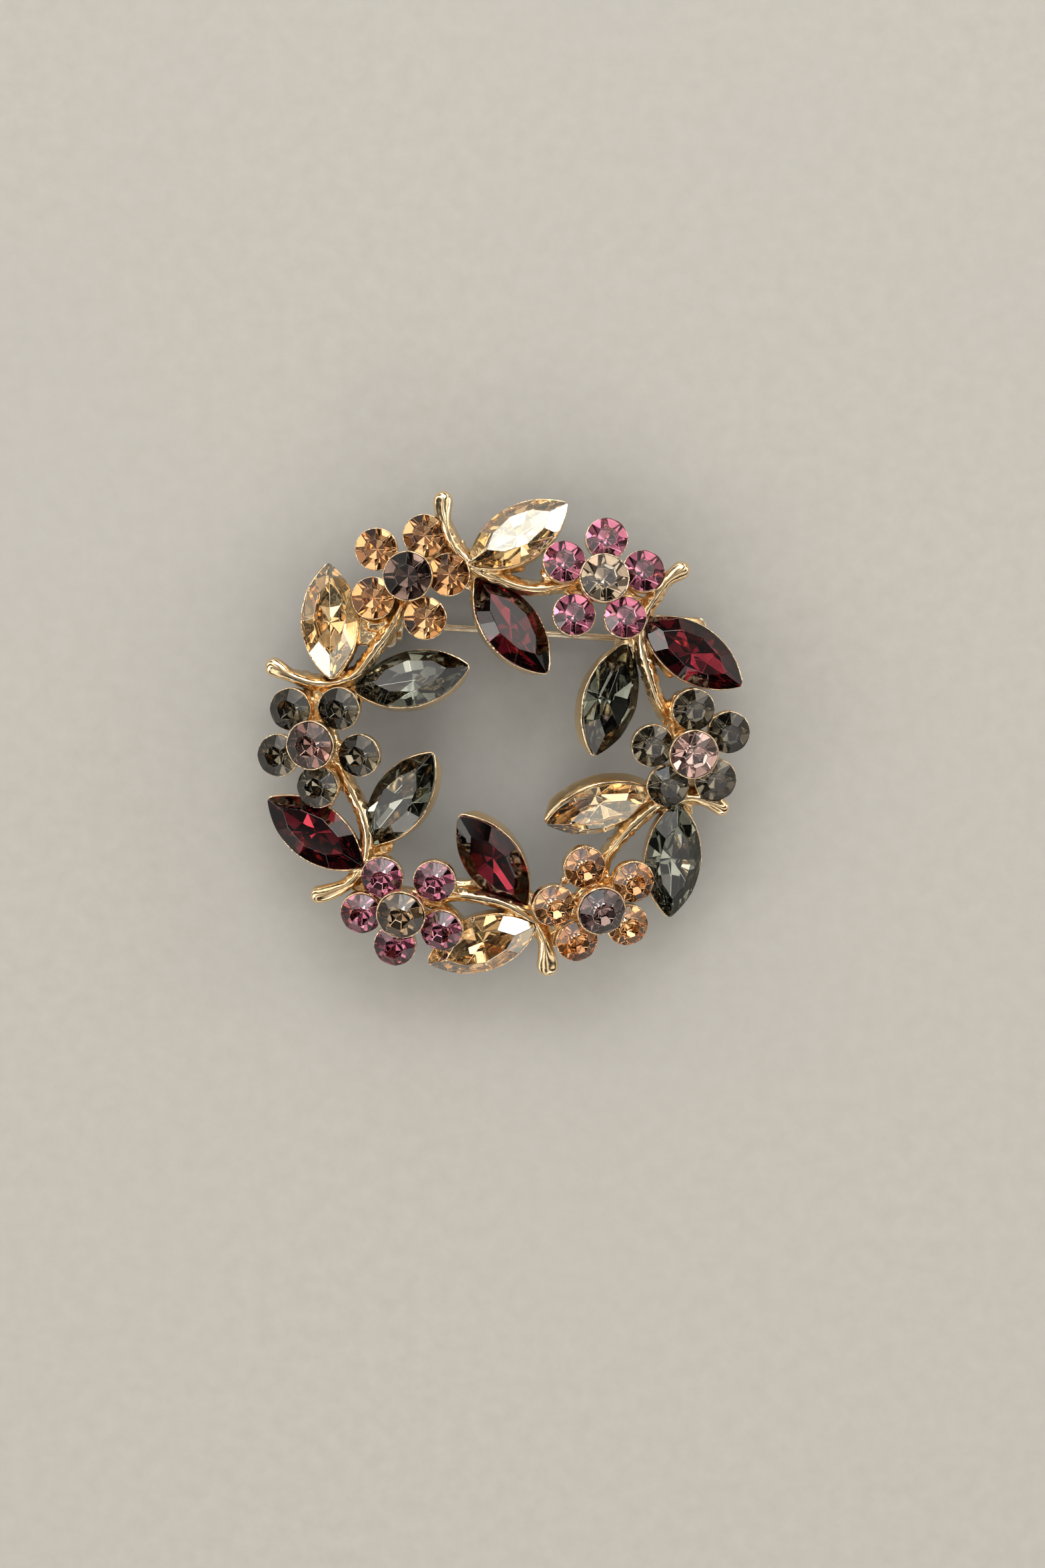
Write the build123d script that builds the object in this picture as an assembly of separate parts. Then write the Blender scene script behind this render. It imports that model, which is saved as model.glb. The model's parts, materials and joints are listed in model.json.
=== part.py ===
from build123d import *
import math
import os

# Wreath brooch: a casting set with 48 pointed-back stones, with a hinged pin and a turning
# safety catch on its back.
#
# Millimetres. +Z points out of the front, +Y to the top edge and +X to the right as seen
# from the front. Shapes are drawn about the centre of the wreath, with z = 0 on the flat back
# plane of the casting. ORIGIN_SHIFT then puts the origin under the middle of the outline,
# level with the lowest point of the fittings.
ORIGIN_SHIFT = (0.01, -1.40, 3.93)
FRAME_BACK = 0.0          # back plane of the casting

# ---------------------------------------------------------------- stone and cup sizes
PETAL_D = 3.76            # small round stone
PETAL_CROWN = 0.80
PETAL_PAVILION = 1.55
CENTRE_D = 4.24           # larger round stone
CENTRE_CROWN = 0.92
CENTRE_PAVILION = 1.75
ROUND_GIRDLE = 0.14
ROUND_TABLE = 0.50        # table width over stone width
ROUND_FLAT = 0.985        # reach of the facets over the stone's radius

LEAF_L = 10.80            # marquise stone
LEAF_W = 5.10
LEAF_CROWN = 0.98
LEAF_GIRDLE = 0.22
LEAF_PAVILION = 1.95
LEAF_BLUNT = 0.12         # how much each point is blunted
LEAF_INSET = 0.06         # how far the facets start inside the outline
LEAF_CROWN_RUN = 0.45     # width of the middle crown facets over half the stone's width
LEAF_END_RUN = 1.15       # width of the end crown facets over the middle ones

SEAT_GAP = 0.03           # glue gap between a stone and its cup
CUP_LIP = 0.12            # how far a cup's rim stays below the girdle
CUP_OVER = 0.07           # how far a cup's rim stands outside the stone

# ---------------------------------------------------------------- frame sizes
HUB_R = 1.65              # hub under each flower; its heights are from the petal plane
HUB_Z = (-2.35, -1.15)
ARM_W = 1.15              # arms from the hub to the petals
ARM_H = 0.85
ARM_Z = -2.15
POST_D = 3.3              # post from each flower to the back plane
POST_DROP = 1.9           # top of the post below the petal plane
ROOT_BACK = 3.4           # leaf centre to the middle of its root, towards the base
ROOT_SIZE = (4.6, 1.5, 1.55)
BAR_W = 1.7               # bars between stems and flowers
BAR_H = 1.9

STEM_FOOT = 1.28          # width of a stem at the back plane
BUD_FROM = 0.75           # ridge width where a stem starts to turn into a bud
BUD_SPAN = 0.75           # further width over which the change is complete
BUD_DEPTH = 1.55
# Closing sections of a bud: distance ahead over its width, fall of the ridge, share of width
BUD_END = ((0.13, 0.06, 0.90), (0.24, 0.22, 0.68), (0.31, 0.42, 0.40))

BEAD_AT = (5.62, -11.86)
BEAD_Z = 3.1
BEAD_R = 0.45
BEAD_STALK_R = 0.32
BEAD_STALK_Z = 1.0        # foot of the stalk

# Solder pads under the hinge and the catch: place and size
PADS = [((15.0, 9.9), (5.6, 2.6, 1.0)), ((-11.9, 10.9), (2.6, 2.4, 1.2))]

# ---------------------------------------------------------------- tables
# Flowers 1 to 6, clockwise from the upper left: centre and normal of the petal plane, girdle
# centre of the raised middle stone, and girdle centres of petals a to e, which run clockwise
# from the top or upper left.
FLOWERS = [
    ((-8.54, 16.12, 3.9), (-0.103, 0.08, 0.991), (-8.66, 16.17, 5.5),
     [(-11.54, 18.43, 3.4), (-7.19, 19.7, 3.75), (-4.99, 16.2, 4.26),
      (-7.11, 12.24, 4.36), (-11.86, 14.02, 3.72)]),
    ((9.03, 15.66, 3.9), (0.098, 0.275, 0.956), (9.16, 16.05, 5.5),
     [(5.55, 17.38, 3.76), (9.4, 19.39, 2.79), (12.73, 16.49, 3.28),
      (11.06, 12.38, 4.63), (6.42, 12.66, 5.03)]),
    ((17.16, 0.07, 3.9), (0.138, -0.092, 0.986), (17.32, -0.08, 5.5),
     [(17.31, 3.86, 4.23), (20.55, 1.71, 3.58), (19.35, -2.66, 3.34),
      (15.02, -3.14, 3.9), (13.6, 0.59, 4.45)]),
    ((8.42, -13.99, 4.3), (0.234, -0.176, 0.956), (8.98, -14.39, 5.9),
     [(7.42, -10.47, 5.19), (11.92, -12.01, 3.81), (11.39, -16.08, 3.19),
      (6.76, -17.41, 4.08), (4.63, -14.0, 5.22)]),
    ((-9.22, -14.51, 4.1), (-0.126, -0.2, 0.972), (-9.38, -14.78, 5.7),
     [(-11.11, -11.49, 4.48), (-6.31, -11.77, 5.04), (-5.69, -16.42, 4.17),
      (-9.99, -17.96, 3.29), (-13.02, -14.93, 3.52)]),
    ((-17.05, 0.82, 4.1), (-0.292, -0.006, 0.956), (-17.59, 0.79, 5.7),
     [(-19.46, 3.83, 3.38), (-15.0, 4.04, 4.75), (-13.17, -0.17, 5.28),
      (-17.0, -3.18, 4.09), (-20.64, -0.43, 3.0)]),
]

# Leaves: stem and side, girdle centre, heading of the long axis from base to tip in degrees,
# and normal of the girdle plane.
LEAVES = [
    ("1_outer", (-15.79, 11.9, 2.6), 91.2, (-0.004, 0.295, 0.955)),
    ("1_inner", (-8.36, 6.66, 2.9), 12.2, (-0.146, 0.303, 0.942)),
    ("2_outer", (1.34, 19.81, 2.6), 30.5, (0.032, 0.342, 0.939)),
    ("2_inner", (0.76, 11.44, 2.9), -53.2, (0.121, 0.278, 0.953)),
    ("3_outer", (17.25, 8.96, 2.85), -34.4, (0.087, 0.126, 0.988)),
    ("3_inner", (9.82, 4.71, 3.0), -106.5, (0.389, 0.116, 0.914)),
    ("4_outer", (15.55, -10.12, 2.5), -93.4, (0.129, -0.06, 0.99)),
    ("4_inner", (9.0, -5.33, 3.1), -166.2, (0.256, -0.438, 0.861)),
    ("5_outer", (-2.01, -17.94, 2.5), -159.0, (-0.12, -0.147, 0.982)),
    ("5_inner", (-0.98, -10.16, 3.1), 125.4, (-0.019, -0.27, 0.963)),
    ("6_outer", (-17.25, -7.57, 2.5), 145.6, (-0.116, 0.138, 0.984)),
    ("6_inner", (-9.51, -4.45, 3.1), 54.8, (-0.357, 0.036, 0.934)),
]

# Stems 1 to 6 from the flower to the bud end: x, y, height of the ridge, width of the ridge.
STEMS = [
    [(-9.1, 13.85, 2.4, 0.73), (-9.28, 13.14, 2.7, 0.73), (-10.18, 11.26, 3.0, 0.73),
     (-11.63, 9.2, 3.2, 0.7), (-13.24, 7.13, 3.3, 0.7), (-14.85, 6.33, 3.3, 0.7),
     (-16.49, 6.09, 3.3, 0.7), (-17.95, 6.33, 3.3, 0.8), (-19.28, 6.82, 3.3, 1.1),
     (-20.26, 7.34, 3.3, 1.53), (-20.93, 7.67, 3.2, 1.71), (-21.3, 7.83, 3.0, 1.47)],
    [(6.85, 15.44, 2.4, 0.73), (6.05, 15.22, 2.7, 0.73), (4.41, 14.88, 3.0, 0.73),
     (2.7, 14.76, 3.1, 0.73), (0.88, 15.14, 3.2, 0.7), (-0.64, 15.76, 3.3, 0.7),
     (-2.15, 16.39, 3.6, 0.7), (-3.36, 17.47, 4.1, 0.7), (-4.14, 18.35, 4.5, 0.73),
     (-4.81, 19.51, 4.55, 0.8), (-5.23, 20.73, 4.4, 1.1), (-5.48, 21.93, 4.1, 1.53),
     (-5.45, 22.83, 3.9, 1.71), (-5.43, 23.25, 3.7, 1.47)],
    [(14.88, 3.05, 2.4, 0.73), (14.38, 3.95, 2.8, 0.73), (13.76, 5.33, 3.1, 0.73),
     (12.91, 8.29, 3.3, 0.7), (12.54, 10.25, 3.3, 0.7), (12.6, 11.3, 3.4, 0.7),
     (12.96, 12.71, 3.5, 0.7), (13.81, 14.13, 3.6, 0.8), (14.72, 15.41, 3.5, 1.1),
     (15.58, 16.13, 3.4, 1.47), (16.19, 16.49, 3.3, 1.65), (16.5, 16.6, 3.1, 1.35)],
    [(8.61, -11.3, 2.4, 0.73), (9.09, -10.38, 2.8, 0.73), (9.7, -9.37, 3.0, 0.73),
     (10.6, -8.25, 3.2, 0.7), (11.51, -7.19, 3.3, 0.7), (12.54, -6.21, 3.3, 0.7),
     (13.94, -5.11, 3.3, 0.7), (15.88, -4.49, 3.4, 0.73), (17.34, -4.3, 3.4, 0.86),
     (18.62, -4.68, 3.3, 1.16), (19.47, -5.06, 3.2, 1.41), (20.02, -5.32, 3.1, 1.53),
     (20.28, -5.47, 2.9, 1.22)],
    [(-6.12, -13.63, 2.4, 0.73), (-5.32, -13.45, 2.8, 0.73), (-3.98, -13.34, 3.1, 0.73),
     (-2.16, -13.57, 3.2, 0.73), (-0.64, -13.86, 3.3, 0.73), (0.64, -14.34, 3.4, 0.73),
     (1.85, -15.01, 3.4, 0.73), (2.76, -15.74, 3.4, 0.77), (3.43, -16.78, 3.4, 0.92),
     (3.8, -17.88, 3.4, 1.22), (3.98, -19.0, 3.3, 1.71), (4.04, -19.89, 3.1, 1.96),
     (4.04, -20.41, 2.9, 1.65)],
    [(-15.07, -1.48, 2.4, 0.73), (-14.58, -2.36, 2.8, 0.73), (-13.64, -4.28, 3.1, 0.73),
     (-12.79, -6.04, 3.2, 0.7), (-12.42, -7.8, 3.3, 0.7), (-12.5, -9.58, 3.3, 0.73),
     (-12.97, -10.92, 3.3, 0.8), (-14.0, -12.09, 3.3, 1.04), (-15.16, -12.77, 3.2, 1.35),
     (-16.38, -13.22, 3.1, 1.59), (-17.11, -13.36, 3.0, 1.53), (-17.42, -13.45, 2.8, 1.22)],
]
# Index of the point of each stem that is tied to the flower before it
ELBOWS = [6, 8, 6, 8, 8, 6]

# Web outlines (x, y) and top heights. The first five are drawn in the first sixth of the
# wreath.
STEM_WEB = [(-18.4, 6.4), (-17.42, 6.15), (-14.37, 6.4), (-14.13, 4.55), (-16.93, 2.83),
            (-18.1, 4.1)]
NARROW_STEM_WEB = [(-17.3, 5.9), (-14.37, 6.4), (-14.13, 4.55), (-16.4, 3.2), (-17.3, 4.3)]
STEM_WEB_TOP = 1.95
LEAF_RIB = [(-15.82, 6.3), (-15.21, 6.18), (-13.87, 8.15), (-13.26, 9.62), (-13.69, 9.99),
            (-14.48, 8.58)]
FLOWER_ARM = [(-8.48, 13.33), (-9.06, 12.32), (-10.52, 11.26), (-12.14, 10.92),
              (-12.69, 11.94), (-11.08, 12.01), (-9.66, 13.01)]
FLOWER_ARM_LIFT = 0.4     # underside above the back plane
RIB_TOP = 2.3             # leaf ribs and flower arms
CROTCH_WEB = [(-11.87, 5.98), (-11.78, 4.66), (-13.3, 4.13), (-14.72, 5.23), (-13.35, 6.12)]
CROTCH_WEB_TOP = 2.0
# Broad web that carries the catch
CATCH_PAD = [(-13.7, 12.67), (-12.18, 14.02), (-8.76, 13.77), (-9.49, 11.93),
             (-10.59, 9.96), (-11.93, 9.59), (-13.52, 9.59)]
CATCH_PAD_TOP = 1.85
# Web beside the inner leaf of the fifth stem
INNER_WEB = [(-4.86, -12.1), (-2.42, -12.1), (-1.56, -13.58), (-4.98, -13.58)]
INNER_WEB_TOP = 1.7

# ---------------------------------------------------------------- helpers
UPWARD = (Align.CENTER, Align.CENTER, Align.MIN)
DOWNWARD = (Align.CENTER, Align.CENTER, Align.MAX)
OUTWARD = (Align.MIN, Align.CENTER, Align.MIN)


def one(shape):
    """The single solid of a shape."""
    found = shape.solids()
    assert len(found) == 1, len(found)
    return found[0]


def seat(centre, normal, heading=0.0):
    """Plane at centre, square to normal, whose X axis keeps the given heading in plan."""
    angle = math.radians(heading)
    east, north = math.cos(angle), math.sin(angle)
    x_dir = Vector(east, north, -(normal[0] * east + normal[1] * north) / normal[2])
    return Plane(
        origin=Vector(*centre), x_dir=x_dir.normalized(), z_dir=Vector(*normal).normalized()
    )


def marquise_arc(length, width):
    """Radius of a marquise's sides, and how far their centres lie off its long axis."""
    radius = (length**2 / 4 + width**2 / 4) / width
    return radius, radius - width / 2


# ---------------------------------------------------------------- stones
# Each is drawn with its girdle's top edge at z = 0. grow moves every face outwards.
def cut_below(solid, normal, distance):
    """The part of solid on the inner side of the plane normal . p = distance."""
    unit = Vector(*normal).normalized()
    return split(solid, bisect_by=Plane(origin=unit * distance, z_dir=unit), keep=Keep.BOTTOM)


def cut_facets(stone, angle, reach, run, crown, pavilion, girdle, grow):
    """Cut the crown facet, then the pavilion facet, that face the given angle in plan."""
    for rise, spread, offset in (
        (crown, run, reach * crown),
        (pavilion, -reach, (pavilion + girdle) * reach),
    ):
        normal = (math.cos(angle) * rise, math.sin(angle) * rise, spread)
        stone = cut_below(stone, normal, offset / math.hypot(rise, spread) + grow)
    return stone


def round_stone(diameter, crown, pavilion, grow):
    """Octagonal-cut pointed-back stone."""
    radius = diameter / 2
    reach = radius * ROUND_FLAT
    run = reach - ROUND_TABLE * radius * math.cos(math.pi / 8)
    stone = Cylinder(radius + grow, crown + pavilion + 2, align=UPWARD)
    stone = Pos(0, 0, -pavilion - 1) * stone
    stone = cut_below(stone, (0, 0, 1), crown + grow)
    for i in range(8):
        angle = math.radians(45 * i + 22.5)
        stone = cut_facets(stone, angle, reach, run, crown, pavilion, ROUND_GIRDLE, grow)
    return stone


def petal_stone(grow=0.0):
    return round_stone(PETAL_D, PETAL_CROWN, PETAL_PAVILION, grow)


def centre_stone(grow=0.0):
    return round_stone(CENTRE_D, CENTRE_CROWN, CENTRE_PAVILION, grow)


def leaf_stone(grow=0.0):
    """Boat-shaped pointed-back stone, long axis on X."""
    radius, offset = marquise_arc(LEAF_L, LEAF_W)
    half_angle = math.degrees(math.asin(LEAF_L / 2 / radius))
    height = LEAF_CROWN + LEAF_PAVILION + 2
    stone = Pos(0, 0, -LEAF_PAVILION - 1) * (
        Pos(0, -offset, 0) * Cylinder(radius + grow, height, align=UPWARD)
        & Pos(0, offset, 0) * Cylinder(radius + grow, height, align=UPWARD)
        & Box(LEAF_L - 2 * LEAF_BLUNT + 2 * grow, LEAF_W + 2, height, align=UPWARD)
    )
    stone = cut_below(stone, (0, 0, 1), LEAF_CROWN + grow)
    for side in (1, -1):
        for part in (-0.75, -0.25, 0.25, 0.75):
            angle = math.radians(90 * side + part * half_angle)
            reach = radius - offset * math.cos(math.radians(part * half_angle)) - LEAF_INSET
            run = LEAF_CROWN_RUN * LEAF_W / 2 * (1 if abs(part) < 0.5 else LEAF_END_RUN)
            stone = cut_facets(
                stone, angle, reach, run, LEAF_CROWN, LEAF_PAVILION, LEAF_GIRDLE, grow
            )
    return stone


# ---------------------------------------------------------------- cups, in their stone's frame
def disc(radius, bottom, top):
    return Pos(0, 0, bottom) * Cylinder(radius, top - bottom, align=UPWARD)


def taper(bottom_r, top_r, bottom, top):
    return Pos(0, 0, bottom) * Cone(bottom_r, top_r, top - bottom, align=UPWARD)


def round_cup(radius, wall, foot_r, foot_z):
    """Straight wall under the rim, tapering down to a foot."""
    rim = -ROUND_GIRDLE - CUP_LIP
    return disc(radius, rim - wall, rim) + taper(foot_r, radius, foot_z, rim - wall)


def petal_cup():
    return round_cup(PETAL_D / 2 + CUP_OVER, wall=0.85, foot_r=1.10, foot_z=-1.98)


def centre_cup():
    cup = round_cup(CENTRE_D / 2 + CUP_OVER + 0.05, wall=0.90, foot_r=1.15, foot_z=-2.20)
    return cup + taper(bottom_r=1.45, top_r=1.00, bottom=-3.0, top=-2.1)


def boat(length, width, z, blunt):
    """Closed outline of a marquise at height z."""
    radius, offset = marquise_arc(length, width)
    x = length / 2 - blunt
    y = math.sqrt(radius * radius - x * x) - offset
    return Wire(
        [
            Edge.make_three_point_arc((-x, y, z), (0, width / 2, z), (x, y, z)),
            Edge.make_line((x, y, z), (x, -y, z)),
            Edge.make_three_point_arc((x, -y, z), (0, -width / 2, z), (-x, -y, z)),
            Edge.make_line((-x, -y, z), (-x, y, z)),
        ]
    )


def leaf_cup():
    rim_z = -LEAF_GIRDLE - CUP_LIP
    keel_z = -LEAF_GIRDLE - LEAF_PAVILION - 0.26
    width = LEAF_W + 2 * CUP_OVER
    rim = boat(LEAF_L + 2 * CUP_OVER, width, rim_z, LEAF_BLUNT)
    band = boat(LEAF_L - 1.2, width, rim_z - 1.50, LEAF_BLUNT)
    keel = boat(LEAF_L * 0.62, LEAF_W * 0.62, keel_z, 0.2)
    return Solid.make_loft([rim, band], True) + Solid.make_loft([band, keel], True)


# ---------------------------------------------------------------- flowers and leaves
parts = {}
rooms = []    # space cut out of the casting for each stone
cups = []     # cups and what holds them up


def stone_kit(make_stone, cup):
    """A stone, the room cut for it and its cup."""
    return one(make_stone()), one(make_stone(SEAT_GAP)), cup


def set_stone(name, location, kit):
    stone, room, cup = kit
    parts[name] = location * stone
    rooms.append(location * room)
    cups.append(location * cup)


petal_kit = stone_kit(petal_stone, petal_cup())
centre_kit = stone_kit(centre_stone, centre_cup())
leaf_kit = stone_kit(leaf_stone, leaf_cup())

for number, (centre, normal, middle, petals) in enumerate(FLOWERS, start=1):
    for letter, petal in zip("abcde", petals):
        set_stone(f"petal_stone_{number}{letter}", seat(petal, normal).location, petal_kit)
    set_stone(f"centre_stone_{number}", seat(middle, normal).location, centre_kit)
    # hub and five arms under the petals, in the flower's own plane
    hub = seat(centre, normal)
    cups.append(hub.location * disc(HUB_R, *HUB_Z))
    for petal in petals:
        local = hub.to_local_coords(Vector(*petal))
        turn = math.degrees(math.atan2(local.Y, local.X))
        arm = Box(math.hypot(local.X, local.Y), ARM_W, ARM_H, align=OUTWARD)
        cups.append(hub.location * Rot(0, 0, turn) * Pos(0, 0, ARM_Z) * arm)
    post = Cylinder(POST_D / 2, centre[2] - POST_DROP, align=UPWARD)
    cups.append(Pos(centre[0], centre[1], FRAME_BACK) * post)

for name, centre, heading, normal in LEAVES:
    set_stone(f"leaf_stone_{name}", seat(centre, normal, heading).location, leaf_kit)
    # root that ties the leaf cup to its stem, on the back plane
    angle = math.radians(heading)
    x = centre[0] - ROOT_BACK * math.cos(angle)
    y = centre[1] - ROOT_BACK * math.sin(angle)
    cups.append(Pos(x, y, FRAME_BACK) * Rot(0, 0, heading) * Box(*ROOT_SIZE, align=UPWARD))


# ---------------------------------------------------------------- stems, webs and pads
def stem(points):
    """Ridge-topped bar along a row of STEMS, with a rounded bud at its end."""
    x_before, y_before = points[-2][:2]
    x_end, y_end, top_end, width_end = points[-1]
    dx, dy = x_end - x_before, y_end - y_before
    length = math.hypot(dx, dy)
    stations = points + [
        (
            x_end + dx / length * ahead * width_end,
            y_end + dy / length * ahead * width_end,
            top_end - fall,
            width_end * share,
        )
        for ahead, fall, share in BUD_END
    ]
    wires = []
    for i, (x, y, top, width) in enumerate(stations):
        x_from, y_from = stations[max(i - 1, 0)][:2]
        x_to, y_to = stations[min(i + 1, len(stations) - 1)][:2]
        length = math.hypot(x_to - x_from, y_to - y_from)
        side_x, side_y = -(y_to - y_from) / length, (x_to - x_from) / length
        # bar and bud are the shares of the two sections blended here
        if i < len(points):
            bud = min(max((width - BUD_FROM) / BUD_SPAN, 0), 1)
            base = FRAME_BACK * (1 - bud) + (top - BUD_DEPTH) * bud
        else:
            bud = 1
            base = top_end - BUD_DEPTH + 1.2 * (top_end - top)
        bar = 1 - bud
        shoulder = max(top - 0.95 * bar - 0.80 * bud, base + 0.15)
        # half width of the bar, half width of the bud over the ridge width, height
        section = (
            (STEM_FOOT / 2, 0.34, base),
            (STEM_FOOT / 2 + 0.02, 0.50, shoulder),
            (0.34, 0.41, top - 0.28),
            (0.13, 0.16, top),
        )
        half = [(flat * bar + share * width * bud, z) for flat, share, z in section]
        outline = [(-across, z) for across, z in half] + half[::-1]
        corners = [(x + side_x * across, y + side_y * across, z) for across, z in outline]
        wires.append(Wire.make_polygon(corners, close=True))
    return Solid.make_loft(wires, True)


def plate(points, top, bottom=FRAME_BACK):
    """Flat web with the given outline."""
    face = Face(Wire.make_polygon([(x, y, bottom) for x, y in points], close=True))
    if face.normal_at().Z < 0:
        face = -face
    return Solid.extrude(face, Vector(0, 0, top - bottom))


def tie_bar(start, end):
    """Bar on the back plane from start to end."""
    dx, dy = end[0] - start[0], end[1] - start[1]
    bar = Box(math.hypot(dx, dy), BAR_W, BAR_H, align=OUTWARD)
    turn = Rot(0, 0, math.degrees(math.atan2(dy, dx)))
    return Pos(start[0], start[1], FRAME_BACK) * turn * bar


def make_webs():
    webs = []
    for i, (points, elbow) in enumerate(zip(STEMS, ELBOWS)):
        webs.append(tie_bar(FLOWERS[i][0], points[1]))
        webs.append(tie_bar(FLOWERS[i - 1][0], points[elbow]))
    for i in range(6):
        turn = Rot(0, 0, -60 * i)
        # the third and fourth stems have the narrow web
        stem_web = NARROW_STEM_WEB if i in (2, 3) else STEM_WEB
        webs.append(turn * plate(FLOWER_ARM, RIB_TOP, FRAME_BACK + FLOWER_ARM_LIFT))
        webs.append(turn * plate(CROTCH_WEB, CROTCH_WEB_TOP))
        webs.append(turn * plate(stem_web, STEM_WEB_TOP))
        webs.append(turn * plate(LEAF_RIB, RIB_TOP))
    webs.append(plate(CATCH_PAD, CATCH_PAD_TOP))
    webs.append(plate(INNER_WEB, INNER_WEB_TOP))
    return webs


def make_bead():
    stalk = Cylinder(BEAD_STALK_R, BEAD_Z - BEAD_STALK_Z, align=UPWARD)
    return Pos(*BEAD_AT, BEAD_Z) * Sphere(BEAD_R) + Pos(*BEAD_AT, BEAD_STALK_Z) * stalk


def make_frame():
    stems = [stem(points) for points in STEMS]
    pads = [Pos(*place, FRAME_BACK) * Box(*size, align=UPWARD) for place, size in PADS]
    frame = Part() + cups + stems + make_webs() + pads + [make_bead()]
    frame = frame - rooms
    # nothing hangs below the back plane
    back = Plane(origin=(0, 0, FRAME_BACK), z_dir=(0, 0, 1))
    frame = split(frame, bisect_by=back, keep=Keep.TOP)
    # the casting is the largest solid; any others must be mere crumbs
    *crumbs, casting = sorted(frame.solids(), key=lambda solid: solid.volume)
    assert sum(crumb.volume for crumb in crumbs) < 2.0
    return casting


parts["wreath_frame"] = make_frame()

# ---------------------------------------------------------------- pin, hinge and catch
# Fitting frame: origin on the rivet's axis, X along the pin away from its point, Z to the
# front. The back plane of the casting is at z = PIN_DROP.
HINGE_X, HINGE_Y = 15.80, 9.50   # rivet centre
PIN_HEADING = -3.59       # degrees; the pin falls slightly towards the hinge
PIN_DROP = 2.30           # pin axis below the back plane
FITTING_T = 0.60          # thickness of the soldered plates
PLATE_CHAMFER = 0.12
OVERLAP = 0.05            # how far ears and foot run into their plates

HINGE_PLATE = (-5.65, 2.65, -2.25, 2.55)   # x from, x to, y from, y to
HINGE_PLATE_R = 0.8
EAR_T = 0.50
EAR_GAP = 0.90
EAR_W = 2.60
EARS_W = EAR_GAP + 2 * EAR_T   # over both ears
RIVET_D = 1.00
RIVET_HEAD_D = 1.70
RIVET_HEAD_T = 0.30
RIVET_HEAD_R = 0.22       # rounding of the head

EYE_D = 2.10
EYE_T = 0.80
EYE_BORE = 1.06
EYE_CHAMFER = 0.08
PIN_D = 0.70
PIN_REACH = 28.60         # rivet to point
PIN_START = 0.55          # rivet to the near end of the wire
NECK_FROM = 1.9           # rivet to the thin end of the neck
NECK_L = 1.2
NECK_R = 0.40
POINT_L = 0.9
POINT_R = (0.03, 0.17)    # at its tip and at its base
TAPER_L = 2.5             # between point and wire

CATCH_AT = 26.60          # rivet to the middle of the catch
CATCH_OD = 3.40
CATCH_ID = 2.44
CATCH_L = 2.00
CATCH_SLOT = 1.00
CATCH_PLATE = (-CATCH_AT - 2.60, -CATCH_AT + 1.00, -1.95, 1.95)
CATCH_PLATE_R = 0.6
FOOT_W = 2.2
FOOT_Z = 0.95
ROTOR_D = 2.38
ROTOR_BORE = 0.98
ROTOR_SLOT = 0.96
ROTOR_HALF = CATCH_L / 2 + 0.04   # half the length between the flanges
FLANGE_T = 0.50           # flange nearer the hinge
FLANGE_CHAMFER = 0.12
FAR_FLANGE_R = 1.45
FAR_FLANGE_T = 0.30
TAB_SIZE = (FLANGE_T, 1.9, 1.0)
TAB_Y = 1.0
TAB_R = 0.45

fitting = Plane(
    origin=(HINGE_X, HINGE_Y, -PIN_DROP),
    x_dir=(math.cos(math.radians(PIN_HEADING)), math.sin(math.radians(PIN_HEADING)), 0),
    z_dir=(0, 0, 1),
).location
catch_place = Pos(-CATCH_AT, 0, 0)
ALONG_X = Rot(0, 90, 0)            # turns a Z cylinder to lie along X
ALONG_Y = Rot(90, 0, 0)            # turns a Z cylinder to lie along Y


def rounded_plate(x_from, x_to, y_from, y_to, radius):
    """Soldered plate, chamfered round its face against the casting."""
    slab = Box(x_to - x_from, y_to - y_from, FITTING_T, align=DOWNWARD)
    slab = fillet(slab.edges().filter_by(Axis.Z), radius)
    slab = chamfer(slab.edges().group_by(Axis.Z)[-1], PLATE_CHAMFER)
    return Pos((x_from + x_to) / 2, (y_from + y_to) / 2, PIN_DROP) * slab


def make_ear(side):
    place = Pos(0, side * (EAR_GAP + EAR_T) / 2, 0)
    ear = place * ALONG_Y * Cylinder(EAR_W / 2, EAR_T)
    ear += place * Box(EAR_W, EAR_T, PIN_DROP - FITTING_T + OVERLAP, align=UPWARD)
    ear -= place * ALONG_Y * Cylinder(RIVET_D / 2 + 0.01, EAR_T * 3)
    return ear


def make_hinge():
    return rounded_plate(*HINGE_PLATE, HINGE_PLATE_R) + make_ear(1) + make_ear(-1)


def make_rivet():
    rivet = ALONG_Y * Cylinder(RIVET_D / 2, EARS_W + 0.02)
    for side in (1, -1):
        head = Cylinder(RIVET_HEAD_D / 2, RIVET_HEAD_T, align=UPWARD)
        head = fillet(head.edges().group_by(Axis.Z)[-1], RIVET_HEAD_R)
        rivet += Pos(0, side * (EARS_W / 2 + 0.005), 0) * Rot(-90 * side, 0, 0) * head
    return rivet


def make_pin():
    def along(x, shape):
        return Pos(x, 0, 0) * ALONG_X * shape

    tip_r, base_r = POINT_R
    wire_x = -PIN_REACH + POINT_L + TAPER_L
    eye = ALONG_Y * Cylinder(EYE_D / 2, EYE_T)
    eye = chamfer(eye.edges().filter_by(GeomType.CIRCLE), EYE_CHAMFER)
    wire = along(wire_x, Cylinder(PIN_D / 2, -PIN_START - wire_x, align=UPWARD))
    neck = along(-NECK_FROM, Cone(PIN_D / 2, NECK_R, NECK_L, align=UPWARD))
    middle = along(-PIN_REACH + POINT_L, Cone(base_r, PIN_D / 2, TAPER_L, align=UPWARD))
    point = along(-PIN_REACH, Cone(tip_r, base_r, POINT_L, align=UPWARD))
    return eye + wire + neck + middle + point - ALONG_Y * Cylinder(EYE_BORE / 2, 3)


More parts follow.
